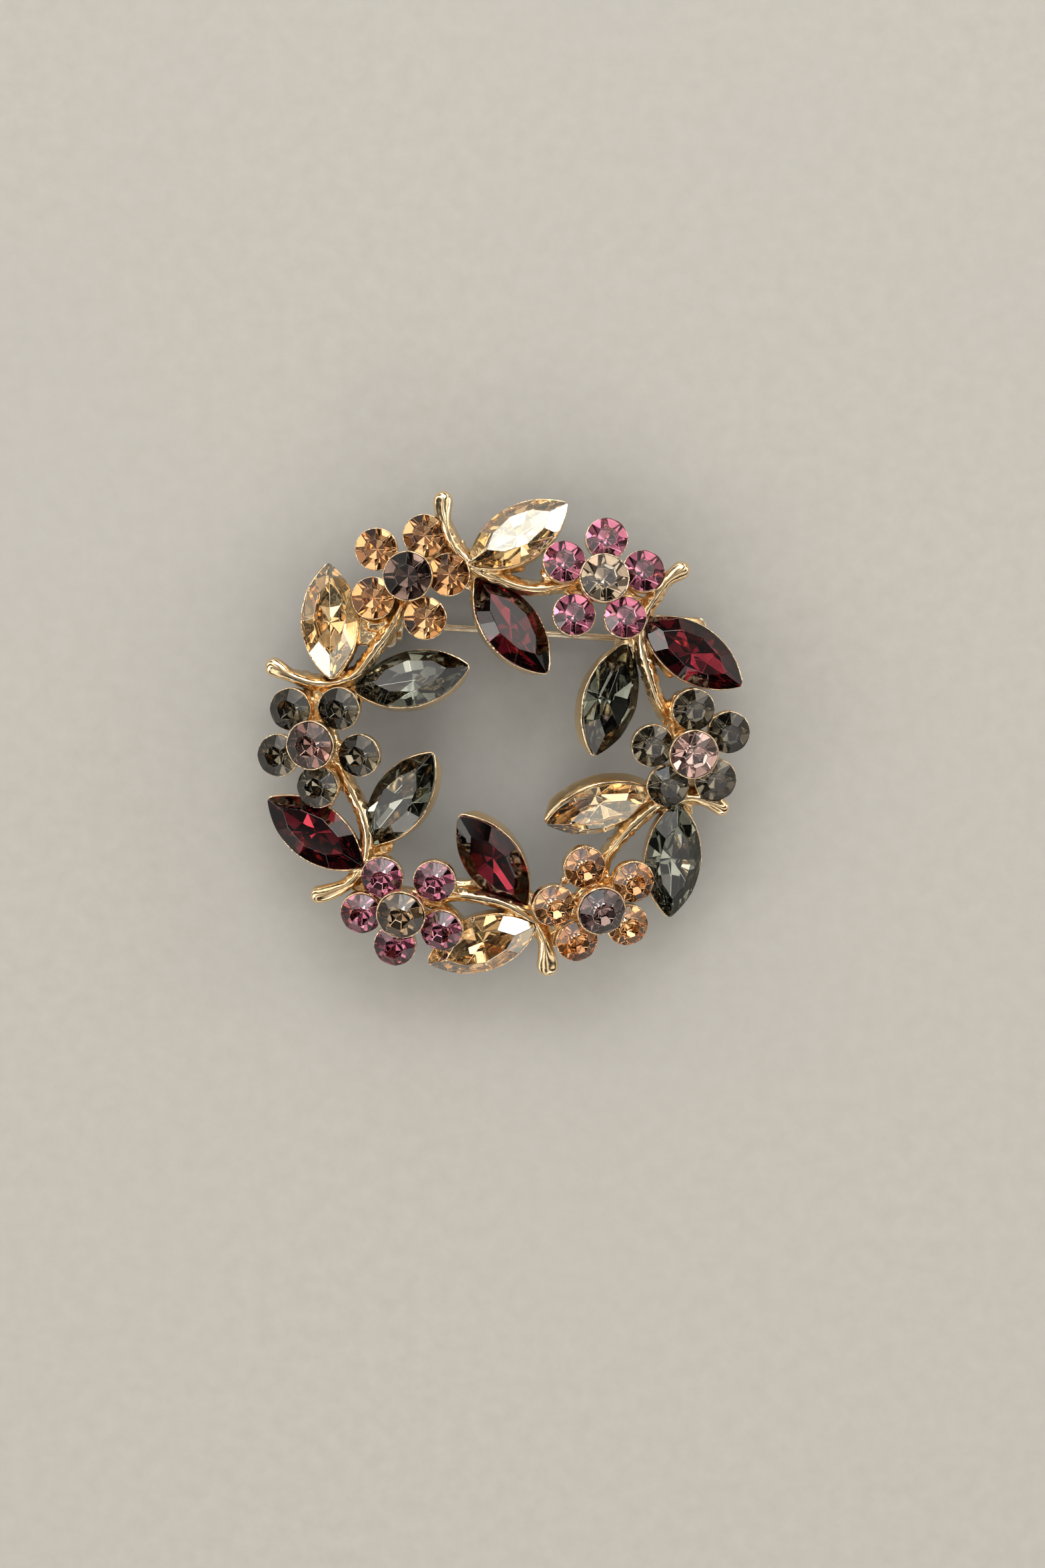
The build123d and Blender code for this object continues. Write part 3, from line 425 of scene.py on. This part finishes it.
def cast(step):
    """The whole casting as one distance field."""
    f = Field((-23.3, -21.8, -0.4), (23.3, 24.6, 6.9), step)
    # flowers: post, hub, arms
    for k, c in FLOWER_C.items():
        n = STONES[f"centre_stone_{k}"]["n"]
        c = np.array(c)
        f.add((c[0] - 2.2, c[1] - 2.2, -0.3), (c[0] + 2.2, c[1] + 2.2, c[2]), rod(2, (c[0], c[1], (c[2] - 1.9) / 2), (c[2] - 1.9) / 2, 1.65, 0.12), 0.2, 0.15)
        hub = dict(c=c, n=n, u=STONES[f"centre_stone_{k}"]["u"], v=STONES[f"centre_stone_{k}"]["v"])
        f.add(c - 2.9, c + 2.9, lathe(hub, [(-1.05, 1.35), (-1.3, 1.62), (-2.2, 1.62), (-2.45, 1.4)]), 0.25, 0.1)
        for l in "abcde":
            p = STONES[f"petal_stone_{k}{l}"]["c"]
            a, b = c - n * 1.72, p - n * 1.80
            f.add(np.minimum(a, b) - 0.9, np.maximum(a, b) + 0.9, capsule(a, b, 0.56, 0.50), 0.3, 0.15)
    # bars under the stems, leaf roots, webs
    for k, row in STEMS.items():
        own, before = FLOWER_C[k], FLOWER_C[(k - 2) % 6 + 1]
        for start, end in ((own, row[1]), (before, row[ELBOWS[k]])):
            dx, dy = end[0] - start[0], end[1] - start[1]
            L = math.hypot(dx, dy)
            lo = (min(start[0], end[0]) - 1.3, min(start[1], end[1]) - 1.3, -0.3)
            hi = (max(start[0], end[0]) + 1.3, max(start[1], end[1]) + 1.3, 2.4)
            f.add(lo, hi, turned(box3((0, -0.78, 0), (L, 0.78, 1.85), 0.22), start[0], start[1], math.degrees(math.atan2(dy, dx))), 0.3, 0.7)
    for key, head in LEAF_HEADING.items():
        s = STONES[f"leaf_stone_{key}"]
        a = math.radians(head)
        x0, y0 = s["c"][0] - 3.4 * math.cos(a), s["c"][1] - 3.4 * math.sin(a)
        f.add((x0 - 3.4, y0 - 3.4, -0.3), (x0 + 3.4, y0 + 3.4, 2.2), turned(box3((-2.3, -0.72, 0), (2.3, 0.72, 1.52), 0.22), x0, y0, head), 0.3, 0.5)
    for k in range(6):
        for pts, z0, z1 in ((FLOWER_ARM, 0.4, 2.12), (CROTCH_WEB, 0, 1.95), (STEM_WEB, 0, 1.9), (LEAF_RIB, 0, 2.05)):
            if pts is STEM_WEB and k in (2, 3):
                pts = NARROW_STEM_WEB
            pts = around(pts, k)
            lo = np.min(pts, 0) - 0.5
            hi = np.max(pts, 0) + 0.5
            f.add((lo[0], lo[1], -0.3), (hi[0], hi[1], z1 + 0.6), outline(pts, z0, z1, 0.16), 0.38, 1.0)
        add_ridge(f, around([(-15.6, 6.2, 2.3, 0.5), (-14.9, 7.2, 2.34, 0.55), (-14.18, 8.37, 2.34, 0.58), (-13.5, 9.8, 2.2, 0.5)], k))
        add_ridge(f, around([(-8.8, 13.0, 2.34, 0.7), (-9.5, 12.4, 2.34, 0.72), (-10.9, 11.62, 2.32, 0.72), (-12.3, 11.4, 2.2, 0.62)], k))
    for pts, z1, skin in ((CATCH_PAD, 1.85, 1.0), (INNER_WEB, 1.7, 0.5)):
        lo, hi = np.min(pts, 0) - 0.5, np.max(pts, 0) + 0.5
        f.add((lo[0], lo[1], -0.3), (hi[0], hi[1], z1 + 0.6), outline(pts, 0, z1, 0.16), 0.38, skin)
    for x0, y0, lx, ly, h in ((15.0, 9.9, 5.6, 2.6, 1.0), (-11.9, 10.9, 2.6, 2.4, 1.2)):
        f.add((x0 - lx, y0 - ly, -0.3), (x0 + lx, y0 + ly, h + 0.5), box3((x0 - lx / 2, y0 - ly / 2, 0), (x0 + lx / 2, y0 + ly / 2, h), 0.15), 0.2, 0.2)
    for points in STEMS.values():
        add_stem(f, points)
    # cups
    for node, s in STONES.items():
        c = s["c"]
        if s["kind"] == "petal":
            f.add(c - (2.7, 2.7, 2.7), c + (2.7, 2.7, 1.0), lathe(s, [(-0.14, 1.94), (-0.36, 1.98), (-1.10, 1.94), (-1.55, 1.58), (-2.02, 1.06)]), 0.16, 0.0)
        elif s["kind"] == "centre":
            rows = [(-0.10, 2.24), (-0.34, 2.30), (-1.10, 2.25), (-1.65, 1.78), (-2.15, 1.28), (-2.6, 1.30), (-3.05, 1.46)]
            f.add(c - (3.1, 3.1, 3.4), c + (3.1, 3.1, 1.0), lathe(s, rows), 0.14, 0.0)
        else:
            f.add(c - (6.2, 6.2, 3.2), c + (6.2, 6.2, 2.4), boat(s, [(-0.20, 0.07), (-0.48, 0.13), (-1.80, 0.09), (-2.15, -0.28), (-2.45, -0.80)]), 0.16, 0.0)
    bx, by = BEAD_AT
    f.add((bx - 1, by - 1, 0.8), (bx + 1, by + 1, 4), capsule((bx, by, 3.1), (bx, by, 3.1001), 0.45), 0.12, 0.1)
    f.add((bx - 1, by - 1, 0.8), (bx + 1, by + 1, 3.4), capsule((bx, by, 1.2), (bx, by, 2.9), 0.34), 0.12, 0.1)
    # skin: dimples where the casting is left rough, a faint wave everywhere
    near = np.nonzero((f.d < 0.5) & (f.d > -0.5))
    px, py, pz = [near[i] * f.step + f.lo[i] for i in range(3)]
    m = f.m[near]
    pits, wave = ripples(5, 26, 0.55, 1.0), ripples(9, 14, 0.9, 2.2)
    dim = pits(px, py, pz)
    f.d[near] += (m * 0.034 * (np.abs(dim) ** 1.3 * np.sign(dim)) + 0.006 * wave(px, py, pz)).astype(np.float32)
    # flat back, then the stones' seats with their glue gap
    f.d = smax(f.d, -(np.arange(f.n[2]) * f.step + f.lo[2]).astype(np.float32)[None, None, :], 0.08)
    for s in STONES.values():
        r = 6.0 if s["kind"] == "leaf" else 2.7
        f.cut(s["c"] - r, s["c"] + r, solid_of(s, 0.045))
    return f


def decimated(ob, target):
    """ob with about target triangles."""
    me = ob.data
    tris = sum(len(p.vertices) - 2 for p in me.polygons)
    if tris > target:
        mod = ob.modifiers.new("thin", "DECIMATE")
        mod.ratio = target / tris
        dg = bpy.context.evaluated_depsgraph_get()
        new = bpy.data.meshes.new_from_object(ob.evaluated_get(dg))
        ob.modifiers.clear()
        ob.data = new
        bpy.data.meshes.remove(me)
    return ob


def keep_big(ob, least):
    """Leaves out loose crumbs of fewer than least vertices."""
    bm = bmesh.new()
    bm.from_mesh(ob.data)
    bm.verts.ensure_lookup_table()
    seen = np.zeros(len(bm.verts), bool)
    drop = []
    for v in bm.verts:
        if seen[v.index]:
            continue
        group, todo = [], [v]
        seen[v.index] = True
        while todo:
            w = todo.pop()
            group.append(w)
            for e in w.link_edges:
                o = e.other_vert(w)
                if not seen[o.index]:
                    seen[o.index] = True
                    todo.append(o)
        if len(group) < least:
            drop += group
    bmesh.ops.delete(bm, geom=drop, context="VERTS")
    bm.to_mesh(ob.data)
    bm.free()
    return ob


# ------------------------------------------------------------------ materials
class Nodes:
    """A short way to write a node tree."""

    def __init__(self, name):
        self.mat = bpy.data.materials.new(name)
        self.mat.use_nodes = True
        self.t = self.mat.node_tree
        self.t.nodes.clear()
        self.out = self.t.nodes.new("ShaderNodeOutputMaterial")

    def put(self, kind, _props=None, **inputs):
        n = self.t.nodes.new("ShaderNode" + kind)
        for k, v in (_props or {}).items():
            setattr(n, k, v)
        for k, v in inputs.items():
            self.set(n, k, v)
        return n

    def set(self, n, key, v):
        sock = n.inputs[int(key[1:])] if key[0] == "i" and key[1:].isdigit() else n.inputs[key.replace("_", " ")]
        if isinstance(v, bpy.types.NodeSocket):
            self.t.links.new(v, sock)
        else:
            sock.default_value = v

    def noise(self, vec, scale, detail=3.0, rough=0.5):
        return self.put("TexNoise", Vector=vec, Scale=scale, Detail=detail, Roughness=rough).outputs["Fac"]

    def ramp(self, fac, stops, interp="LINEAR"):
        n = self.put("ValToRGB", i0=fac)
        n.color_ramp.interpolation = interp
        el = n.color_ramp.elements
        while len(el) < len(stops):
            el.new(0.5)
        for e, (p, c) in zip(el, stops):
            e.position = p
            e.color = (c, c, c, 1) if isinstance(c, (int, float)) else tuple(c) + (1,)
        return n.outputs["Color"]

    def mix(self, fac, a, b, blend="MIX"):
        n = self.put("Mix", {"data_type": "RGBA", "blend_type": blend})
        self.set(n, "i0", fac)
        for i, v in ((6, a), (7, b)):
            if isinstance(v, bpy.types.NodeSocket):
                self.t.links.new(v, n.inputs[i])
            else:
                n.inputs[i].default_value = tuple(v) + (1,) if len(v) == 3 else v
        return n.outputs[2]

    def math(self, op, a, b=0.0, clamp=False):
        return self.put("Math", {"operation": op, "use_clamp": clamp}, i0=a, i1=b).outputs[0]

    def remap(self, v, a, b, c, d):
        n = self.put("MapRange", {"clamp": True}, i0=v, i1=a, i2=b, i3=c, i4=d)
        return n.outputs[0]

    def coords(self, scale=(1, 1, 1), turn=(0, 0, 0)):
        tc = self.put("TexCoord")
        m = self.put("Mapping", Vector=tc.outputs["Object"])
        m.inputs["Scale"].default_value = [1000 * s for s in scale]
        m.inputs["Rotation"].default_value = turn
        return m.outputs["Vector"]

    def bump(self, height, strength, dist_mm, normal=None):
        n = self.put("Bump", Height=height, Strength=strength, Distance=dist_mm * MM)
        if normal is not None:
            self.set(n, "Normal", normal)
        return n.outputs["Normal"]

    def finish(self, shader):
        self.t.links.new(shader, self.out.inputs["Surface"])
        return self.mat


def gold(name, light, dark, rough=(0.12, 0.34), skin=False, scratches=0.5, seedshift=0.0):
    """Light-gold plating: brighter and smoother where it is rubbed; in the recesses that ambient occlusion finds it is
    duller, and its colour is darkened towards the dark colour as painted shade.
    """
    n = Nodes(name)
    vec = n.coords()
    off = n.put("VectorMath", {"operation": "ADD"}, i0=vec, i1=(seedshift, seedshift * 1.7, seedshift * 0.6)).outputs[0]
    broad = n.noise(off, 0.22, 3.0, 0.55)
    fine = n.noise(off, 2.6, 4.0, 0.6)
    grain = n.noise(off, 11.0, 3.0, 0.65)
    point = n.put("NewGeometry").outputs["Pointiness"]
    ridge = n.remap(point, 0.50, 0.60, 0.0, 1.0)
    # ambient occlusion marks the recesses, where shade falls
    ao = n.put("AmbientOcclusion", {"samples": 6}, Distance=0.9 * MM).outputs["AO"]
    shaded_recess = n.remap(ao, 0.12, 0.62, 1.0, 0.0)
    col = n.mix(n.remap(broad, 0.35, 0.65, 0, 1), light, tuple(c * k for c, k in zip(light, (0.96, 0.90, 0.80))))
    col = n.mix(n.remap(fine, 0.45, 0.75, 0, 0.35), col, tuple(c * k for c, k in zip(light, (0.90, 0.82, 0.78))))
    # painted shade: the colour is pulled towards the dark colour where the surface is occluded
    col = n.mix(n.math("MULTIPLY", shaded_recess, 0.85), col, dark)
    col = n.mix(n.math("MULTIPLY", ridge, 0.5), col, (0.98, 0.90, 0.76))
    r = n.remap(n.math("ADD", n.math("MULTIPLY", fine, 0.7), n.math("MULTIPLY", broad, 0.3)), 0.35, 0.68, rough[0], rough[1])
    r = n.math("ADD", r, n.math("MULTIPLY", shaded_recess, 0.22))
    r = n.math("SUBTRACT", r, n.math("MULTIPLY", ridge, 0.06), True)
    if skin:
        sk = n.put("Attribute", {"attribute_name": "cast_skin"}).outputs["Fac"]
        r = n.math("ADD", r, n.math("MULTIPLY", sk, 0.05))
        pit = n.put("TexVoronoi", {"feature": "SMOOTH_F1"}, Vector=off, Scale=3.1, Smoothness=0.7).outputs["Distance"]
        h = n.math("ADD", n.math("MULTIPLY", n.math("MULTIPLY", pit, sk), 0.9), n.math("MULTIPLY", grain, 0.10))
        nor = n.bump(h, 0.55, 0.05)
    else:
        nor = n.bump(grain, 0.22, 0.02)
    if scratches:
        sc = n.noise(n.coords((0.9, 14, 14), (0, 0, 0.4)), 1.6, 3.0, 0.7)
        nor = n.bump(n.remap(sc, 0.55, 0.75, 0, 1), 0.12 * scratches, 0.01, nor)
    p = n.put("BsdfPrincipled", Metallic=1.0, Base_Color=col, Roughness=r, Normal=nor)
    return n.finish(p.outputs[0])


def wire(name):
    """Pale drawn wire: fine lines along its length."""
    n = Nodes(name)
    lines = n.noise(n.coords((0.25, 16, 16), (0, 0, math.radians(3.59))), 1.0, 4.0, 0.6)
    soft = n.noise(n.coords(), 0.9, 3.0, 0.5)
    col = n.mix(n.remap(soft, 0.35, 0.7, 0, 1), (0.80, 0.72, 0.58), (0.66, 0.56, 0.42))
    r = n.remap(lines, 0.35, 0.7, 0.14, 0.34)
    p = n.put("BsdfPrincipled", Metallic=1.0, Base_Color=col, Roughness=r, Normal=n.bump(lines, 0.25, 0.01))
    return n.finish(p.outputs[0])


def glass(name, tint, film=0.0, ior=1.58):
    """Polished face of a stone: clear coloured glass with a few faint wear marks, and on some a thin iridescent film."""
    n = Nodes(name)
    vec = n.coords()
    wear = n.remap(n.noise(vec, 3.0, 4.0, 0.7), 0.64, 0.80, 0.0, 0.04)
    cloud = n.remap(n.noise(vec, 0.35, 2.0, 0.5), 0.3, 0.7, 0.0, 1.0)
    col = n.mix(cloud, tint, tuple(min(1.0, c * 0.90 + 0.01) for c in tint))
    p = n.put("BsdfPrincipled", Base_Color=col, Roughness=wear, IOR=ior)
    p.inputs["Transmission Weight"].default_value = 1.0
    if film:
        n.set(p, "Thin_Film_Thickness", n.remap(n.noise(vec, 0.16, 2.0, 0.5), 0.3, 0.7, film * 0.85, film * 1.15))
        p.inputs["Thin Film IOR"].default_value = 2.20
    return n.finish(p.outputs[0])


def foil(name, main, second, third, dark, glitter=0.0):
    """Mirror backing of a stone, seen through the glass, with soft patches of hue; its facets are painted lighter or
    darker in turn, painted highlights and painted shade that stand in for the stone's sparkle.
    """
    n = Nodes(name)
    vec = n.coords()
    tone = n.put("Attribute", {"attribute_name": "facet_light_shade"}).outputs["Fac"]
    a = n.noise(vec, 0.55, 2.0, 0.5)
    col = n.mix(n.remap(a, 0.40, 0.62, 0, 0.8), main, third)
    # painted highlight on the facets with a high value, painted shade on those with a low one
    col = n.mix(n.remap(tone, 0.55, 1.0, 0, 1), col, second)
    col = n.mix(n.remap(tone, 0.50, 0.0, 0, 1), col, dark)
    if glitter:
        g = n.put("TexVoronoi", {"feature": "F1"}, Vector=vec, Scale=3.2).outputs["Color"]
        nor = n.bump(g, glitter, 0.02)
    else:
        nor = n.bump(n.noise(vec, 0.4, 1.0, 0.5), 0.03, 0.05)
    p = n.put("BsdfPrincipled", Metallic=1.0, Base_Color=col, Roughness=0.03, Normal=nor)
    return n.finish(p.outputs[0])


# slot: glass tint, foil colours (main, second, third, dark), glitter, thickness of the iridescent film in nm; second is
# the foil's painted highlight and dark its painted shade, laid on alternate facets
STONE_LOOK = {
    "peach_glass": ((0.97, 0.77, 0.57), (0.99, 0.80, 0.58), (1.00, 0.94, 0.80), (0.92, 0.64, 0.46), (0.24, 0.12, 0.07), 0.0, 0),
    "amethyst_glass": ((0.78, 0.53, 0.59), (0.84, 0.56, 0.64), (1.00, 0.80, 0.86), (0.58, 0.34, 0.44), (0.10, 0.04, 0.06), 0.0, 0),
    "black_diamond_glass": ((0.56, 0.53, 0.46), (0.36, 0.33, 0.28), (1.00, 0.97, 0.86), (0.28, 0.26, 0.22), (0.02, 0.019, 0.016), 0.0, 0),
    "taupe_glass": ((0.70, 0.62, 0.58), (0.55, 0.46, 0.42), (0.84, 0.75, 0.69), (0.34, 0.27, 0.25), (0.07, 0.055, 0.05), 0.0, 0),
    "grey_green_glass": ((0.89, 0.80, 0.72), (0.64, 0.55, 0.48), (0.94, 0.93, 0.84), (0.50, 0.48, 0.42), (0.16, 0.15, 0.13), 0.0, 0),
    "pale_pink_glass": ((0.93, 0.84, 0.81), (0.88, 0.75, 0.70), (1.00, 0.91, 0.88), (0.70, 0.55, 0.52), (0.22, 0.16, 0.15), 0.0, 0),
    "mauve_glass": ((0.82, 0.70, 0.65), (0.62, 0.52, 0.51), (0.90, 0.80, 0.79), (0.43, 0.34, 0.36), (0.10, 0.075, 0.08), 0.0, 0),
    "smoky_glass": ((0.81, 0.70, 0.59), (0.66, 0.56, 0.45), (0.92, 0.84, 0.70), (0.43, 0.35, 0.27), (0.10, 0.08, 0.06), 0.0, 0),
    "brown_mauve_glass": ((0.77, 0.66, 0.62), (0.60, 0.46, 0.42), (0.90, 0.76, 0.70), (0.40, 0.28, 0.27), (0.09, 0.06, 0.055), 0.0, 0),
    "champagne_glass": ((0.99, 0.91, 0.74), (0.99, 0.86, 0.64), (1.00, 0.95, 0.82), (0.96, 0.76, 0.54), (0.62, 0.42, 0.22), 0.12, 62),
    "grey_glass": ((0.58, 0.585, 0.545), (0.48, 0.49, 0.44), (0.96, 0.97, 0.90), (0.28, 0.29, 0.26), (0.05, 0.052, 0.048), 0.0, 0),
    "burgundy_glass": ((0.33, 0.044, 0.062), (0.50, 0.27, 0.33), (0.98, 0.68, 0.72), (0.30, 0.15, 0.21), (0.05, 0.022, 0.03), 0.0, 0),
}


# ------------------------------------------------------------------ stones
GLASS, FOIL = {}, {}
for slot_name, (tint, main, second, third, dark, glitter, film) in STONE_LOOK.items():
    GLASS[slot_name] = glass(slot_name, tint, film)
    FOIL[slot_name] = foil(slot_name + "_foil", main, second, third, dark, glitter)


def cut_stone(node):
    """The stone with its facets as single faces and their edges slightly rubbed, polished glass in front and foil behind."""
    s = STONES[node]
    me = NODES[node].data.copy()
    me.name = node + "_cut"
    me.materials.clear()
    bm = bmesh.new()
    bm.from_mesh(me)
    bmesh.ops.remove_doubles(bm, verts=bm.verts, dist=0.002 * MM)
    bmesh.ops.dissolve_limit(bm, angle_limit=math.radians(0.8), verts=bm.verts, edges=bm.edges, delimit=set())
    bm.normal_update()
    sharp = [e for e in bm.edges if len(e.link_faces) == 2 and e.calc_face_angle() > math.radians(14)]
    if sharp:
        bmesh.ops.bevel(bm, geom=sharp, offset=0.022 * MM, offset_type="OFFSET", segments=1, profile=0.5, affect="EDGES", clamp_overlap=True)
    bm.normal_update()
    axis, u, v, mid = Vector(s["n"]), Vector(s["u"]), Vector(s["v"]), Vector((s["c"] + OFFSET) * MM)
    # each back facet gets a value for the painted light and shade of the foil: alternate eighths round the axis lighter
    # and darker, with a random spread per eighth
    rng = np.random.default_rng(sum(ord(c) * (i + 3) for i, c in enumerate(node)))
    jitter = rng.uniform(-0.22, 0.22, 8)
    facet_shading = []
    for f in bm.faces:
        up = f.normal.dot(axis)
        f.material_index = 0 if up > 0.12 else 1
        f.smooth = abs(up) < 0.12
        p = f.normal if s["kind"] != "leaf" else f.calc_center_median() - mid
        i = int(math.floor(math.degrees(math.atan2(p.dot(v), p.dot(u))) / 45.0)) % 8
        facet_shading.append(float(np.clip(0.34 + 0.36 * (i % 2) + jitter[i], 0, 1)) if abs(up) > 0.12 else 0.5)
    bm.to_mesh(me)
    me.attributes.new("facet_light_shade", "FLOAT", "FACE").data.foreach_set("value", facet_shading)
    bm.free()
    me.materials.append(GLASS[SLOT[node]])
    me.materials.append(FOIL[SLOT[node]])
    ob = bpy.data.objects.new(node + "_cut", me)
    SCENE.collection.objects.link(ob)
    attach(ob, FRONT)
    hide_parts(node)
    return ob


for node in STONES:
    cut_stone(node)

# ------------------------------------------------------------------ casting
# the third argument of each is the colour of the painted shade in its recesses
GOLD = gold("plated_casting", (0.94, 0.71, 0.42), (0.13, 0.065, 0.022), (0.08, 0.24), skin=True)
FITTING = gold("plated_fitting", (0.90, 0.74, 0.50), (0.22, 0.14, 0.07), (0.14, 0.30), scratches=1.0, seedshift=17.0)
WIRE = wire("steel_wire")

field = cast(0.095)
casting = field.mesh("wreath_casting")
keep_big(casting, 400)
decimated(casting, 190000)
skin_of(field, casting)
del field
casting.data.materials.append(GOLD)
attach(casting, FRONT)
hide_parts("wreath_frame")

# ------------------------------------------------------------------ fittings on the back
for node in ("hinge_plate", "hinge_rivet", "pin_stem", "catch_body", "catch_rotor"):
    ob = NODES[node]
    ob.data.materials.clear()
    ob.data.materials.append(WIRE if node == "pin_stem" else FITTING)
    b = ob.modifiers.new("edges", "BEVEL")
    b.width = 0.035 * MM
    b.segments = 2
    b.limit_method = "ANGLE"
    b.angle_limit = math.radians(40)
    b.harden_normals = False
    b.use_clamp_overlap = True

# ------------------------------------------------------------------ floor, light and camera
def floor_material(name):
    """Pale, slightly fibrous card, seen only from above."""
    n = Nodes(name)
    vec = n.coords()
    fibre = n.noise(vec, 0.6, 5.0, 0.6)
    broad = n.noise(vec, 0.02, 2.0, 0.5)
    col = n.mix(n.remap(fibre, 0.3, 0.7, 0, 1), (0.615, 0.587, 0.535), (0.565, 0.537, 0.485))
    col = n.mix(n.remap(broad, 0.3, 0.7, 0, 0.5), col, (0.58, 0.56, 0.52))
    p = n.put("BsdfPrincipled", Base_Color=col, Roughness=0.85, Normal=n.bump(fibre, 0.25, 0.08))
    p.inputs["Specular IOR Level"].default_value = 0.2
    clear = n.put("BsdfTransparent")
    m = n.put("MixShader", Fac=n.put("NewGeometry").outputs["Backfacing"], i1=p.outputs[0], i2=clear.outputs[0])
    return n.finish(m.outputs[0])


BOTTOM = CAD_LO[2]
half = 3.0
me = bpy.data.meshes.new("floor")
me.from_pydata([(-half, -half, 0), (half, -half, 0), (half, half, 0), (-half, half, 0)], [], [(0, 1, 2, 3)])
me.materials.append(floor_material("card"))
floor = bpy.data.objects.new("floor", me)
SCENE.collection.objects.link(floor)
# the brooch lies on the floor; when its pin is opened the floor stays just below the point of the pin
tip = bpy.data.objects.new("pin_point", None)
SCENE.collection.objects.link(tip)
tip.parent = NODES["pin_stem"].parent
tip.location = min((v.co for v in NODES["pin_stem"].data.vertices), key=lambda p: p.x)
lower = floor.driver_add("location", 2).driver
lower.type = "SCRIPTED"
var = lower.variables.new()
var.name = "tip"
var.type = "TRANSFORMS"
var.targets[0].id = tip
var.targets[0].transform_type = "LOC_Z"
var.targets[0].transform_space = "WORLD_SPACE"
lower.expression = f"min({BOTTOM - 0.00002:.6f}, tip - 0.000600)"


def softbox(name, direction, distance, w, h, power, color):
    li = bpy.data.lights.new(name, "AREA")
    li.shape = "RECTANGLE"
    li.size, li.size_y = w, h
    li.energy = power
    li.color = color
    ob = bpy.data.objects.new(name, li)
    d = Vector(direction).normalized()
    ob.location = d * distance
    ob.rotation_euler = (-d).to_track_quat("-Z", "Y").to_euler()
    SCENE.collection.objects.link(ob)
    return ob


softbox("key", (0.05, 0.700, 0.715), 0.42, 0.30, 0.145, 0.42, (0.96, 0.98, 1.0))
softbox("left", (-0.80, -0.25, 0.55), 0.50, 0.16, 0.22, 0.30, (1.0, 0.97, 0.92))
softbox("right", (0.90, 0.25, 0.36), 0.50, 0.16, 0.12, 0.30, (1.0, 0.96, 0.90))
softbox("low", (0.15, -0.85, 0.50), 0.50, 0.22, 0.08, 0.22, (1.0, 0.95, 0.88))

world = bpy.data.worlds.new("studio")
SCENE.world = world
world.use_nodes = True
w = Nodes.__new__(Nodes)
w.t = world.node_tree
w.t.nodes.clear()
w.out = w.t.nodes.new("ShaderNodeOutputWorld")
direction = w.put("TexCoord").outputs["Generated"]
xyz = w.put("SeparateXYZ", Vector=direction)
up = w.remap(xyz.outputs["Z"], -1.0, 1.0, 0.0, 1.0)
room = w.ramp(up, [(0.0, (0.50, 0.48, 0.44)), (0.50, (0.60, 0.57, 0.53)), (0.64, (0.44, 0.42, 0.39)), (0.84, (0.42, 0.405, 0.38)), (0.95, (0.44, 0.42, 0.40)), (0.99, (0.26, 0.25, 0.24))])
# pale panels and dark gaps round the room, for the metal and the facets to pick up
turn = w.put("Math", {"operation": "ARCTAN2"}, i0=xyz.outputs["Y"], i1=xyz.outputs["X"]).outputs[0]
panels = w.math("SINE", w.math("ADD", w.math("MULTIPLY", turn, 7.0), w.math("MULTIPLY", xyz.outputs["Z"], 7.0)))
panels = w.remap(panels, 0.20, 0.50, 0.10, 5.0)
side = w.math("SUBTRACT", w.math("MULTIPLY", xyz.outputs["Y"], 0.8), w.math("MULTIPLY", xyz.outputs["X"], 0.45))
panels = w.math("MULTIPLY", panels, w.remap(side, -0.6, 0.6, 0.50, 1.15))
room = w.mix(w.math("MULTIPLY", w.remap(xyz.outputs["Z"], 0.94, 0.975, 1.0, 0.0), w.remap(xyz.outputs["Z"], 0.02, 0.12, 0.0, 1.0)), room, w.put("VectorMath", {"operation": "SCALE"}, i0=room, i3=panels).outputs[0])
lp = w.put("LightPath")
shown = w.mix(lp.outputs["Is Diffuse Ray"], room, (0.605, 0.59, 0.565))
bg = w.put("Background", Color=shown, Strength=1.0)
w.t.links.new(bg.outputs[0], w.out.inputs["Surface"])

cam = bpy.data.cameras.new("camera")
camera = bpy.data.objects.new("camera", cam)
cam.sensor_width = 36.0
cam.lens = 104.96
cam.clip_start = 0.01
tilt = math.radians(7.0)
aim = (np.array([1.733, -3.405, 0.0]) + OFFSET) * MM
camera.location = Vector(aim) + 0.420 * Vector((0, math.sin(tilt), math.cos(tilt)))
camera.rotation_euler = (-tilt, 0, 0)
SCENE.collection.objects.link(camera)
SCENE.camera = camera

SCENE.view_settings.view_transform = "Standard"
SCENE.view_settings.look = "None"
SCENE.view_settings.exposure = -0.03
SCENE.cycles.max_bounces = 14
SCENE.cycles.diffuse_bounces = 3
SCENE.cycles.glossy_bounces = 8
SCENE.cycles.transmission_bounces = 12
SCENE.cycles.caustics_reflective = False
SCENE.cycles.caustics_refractive = False
SCENE.cycles.use_denoising = True
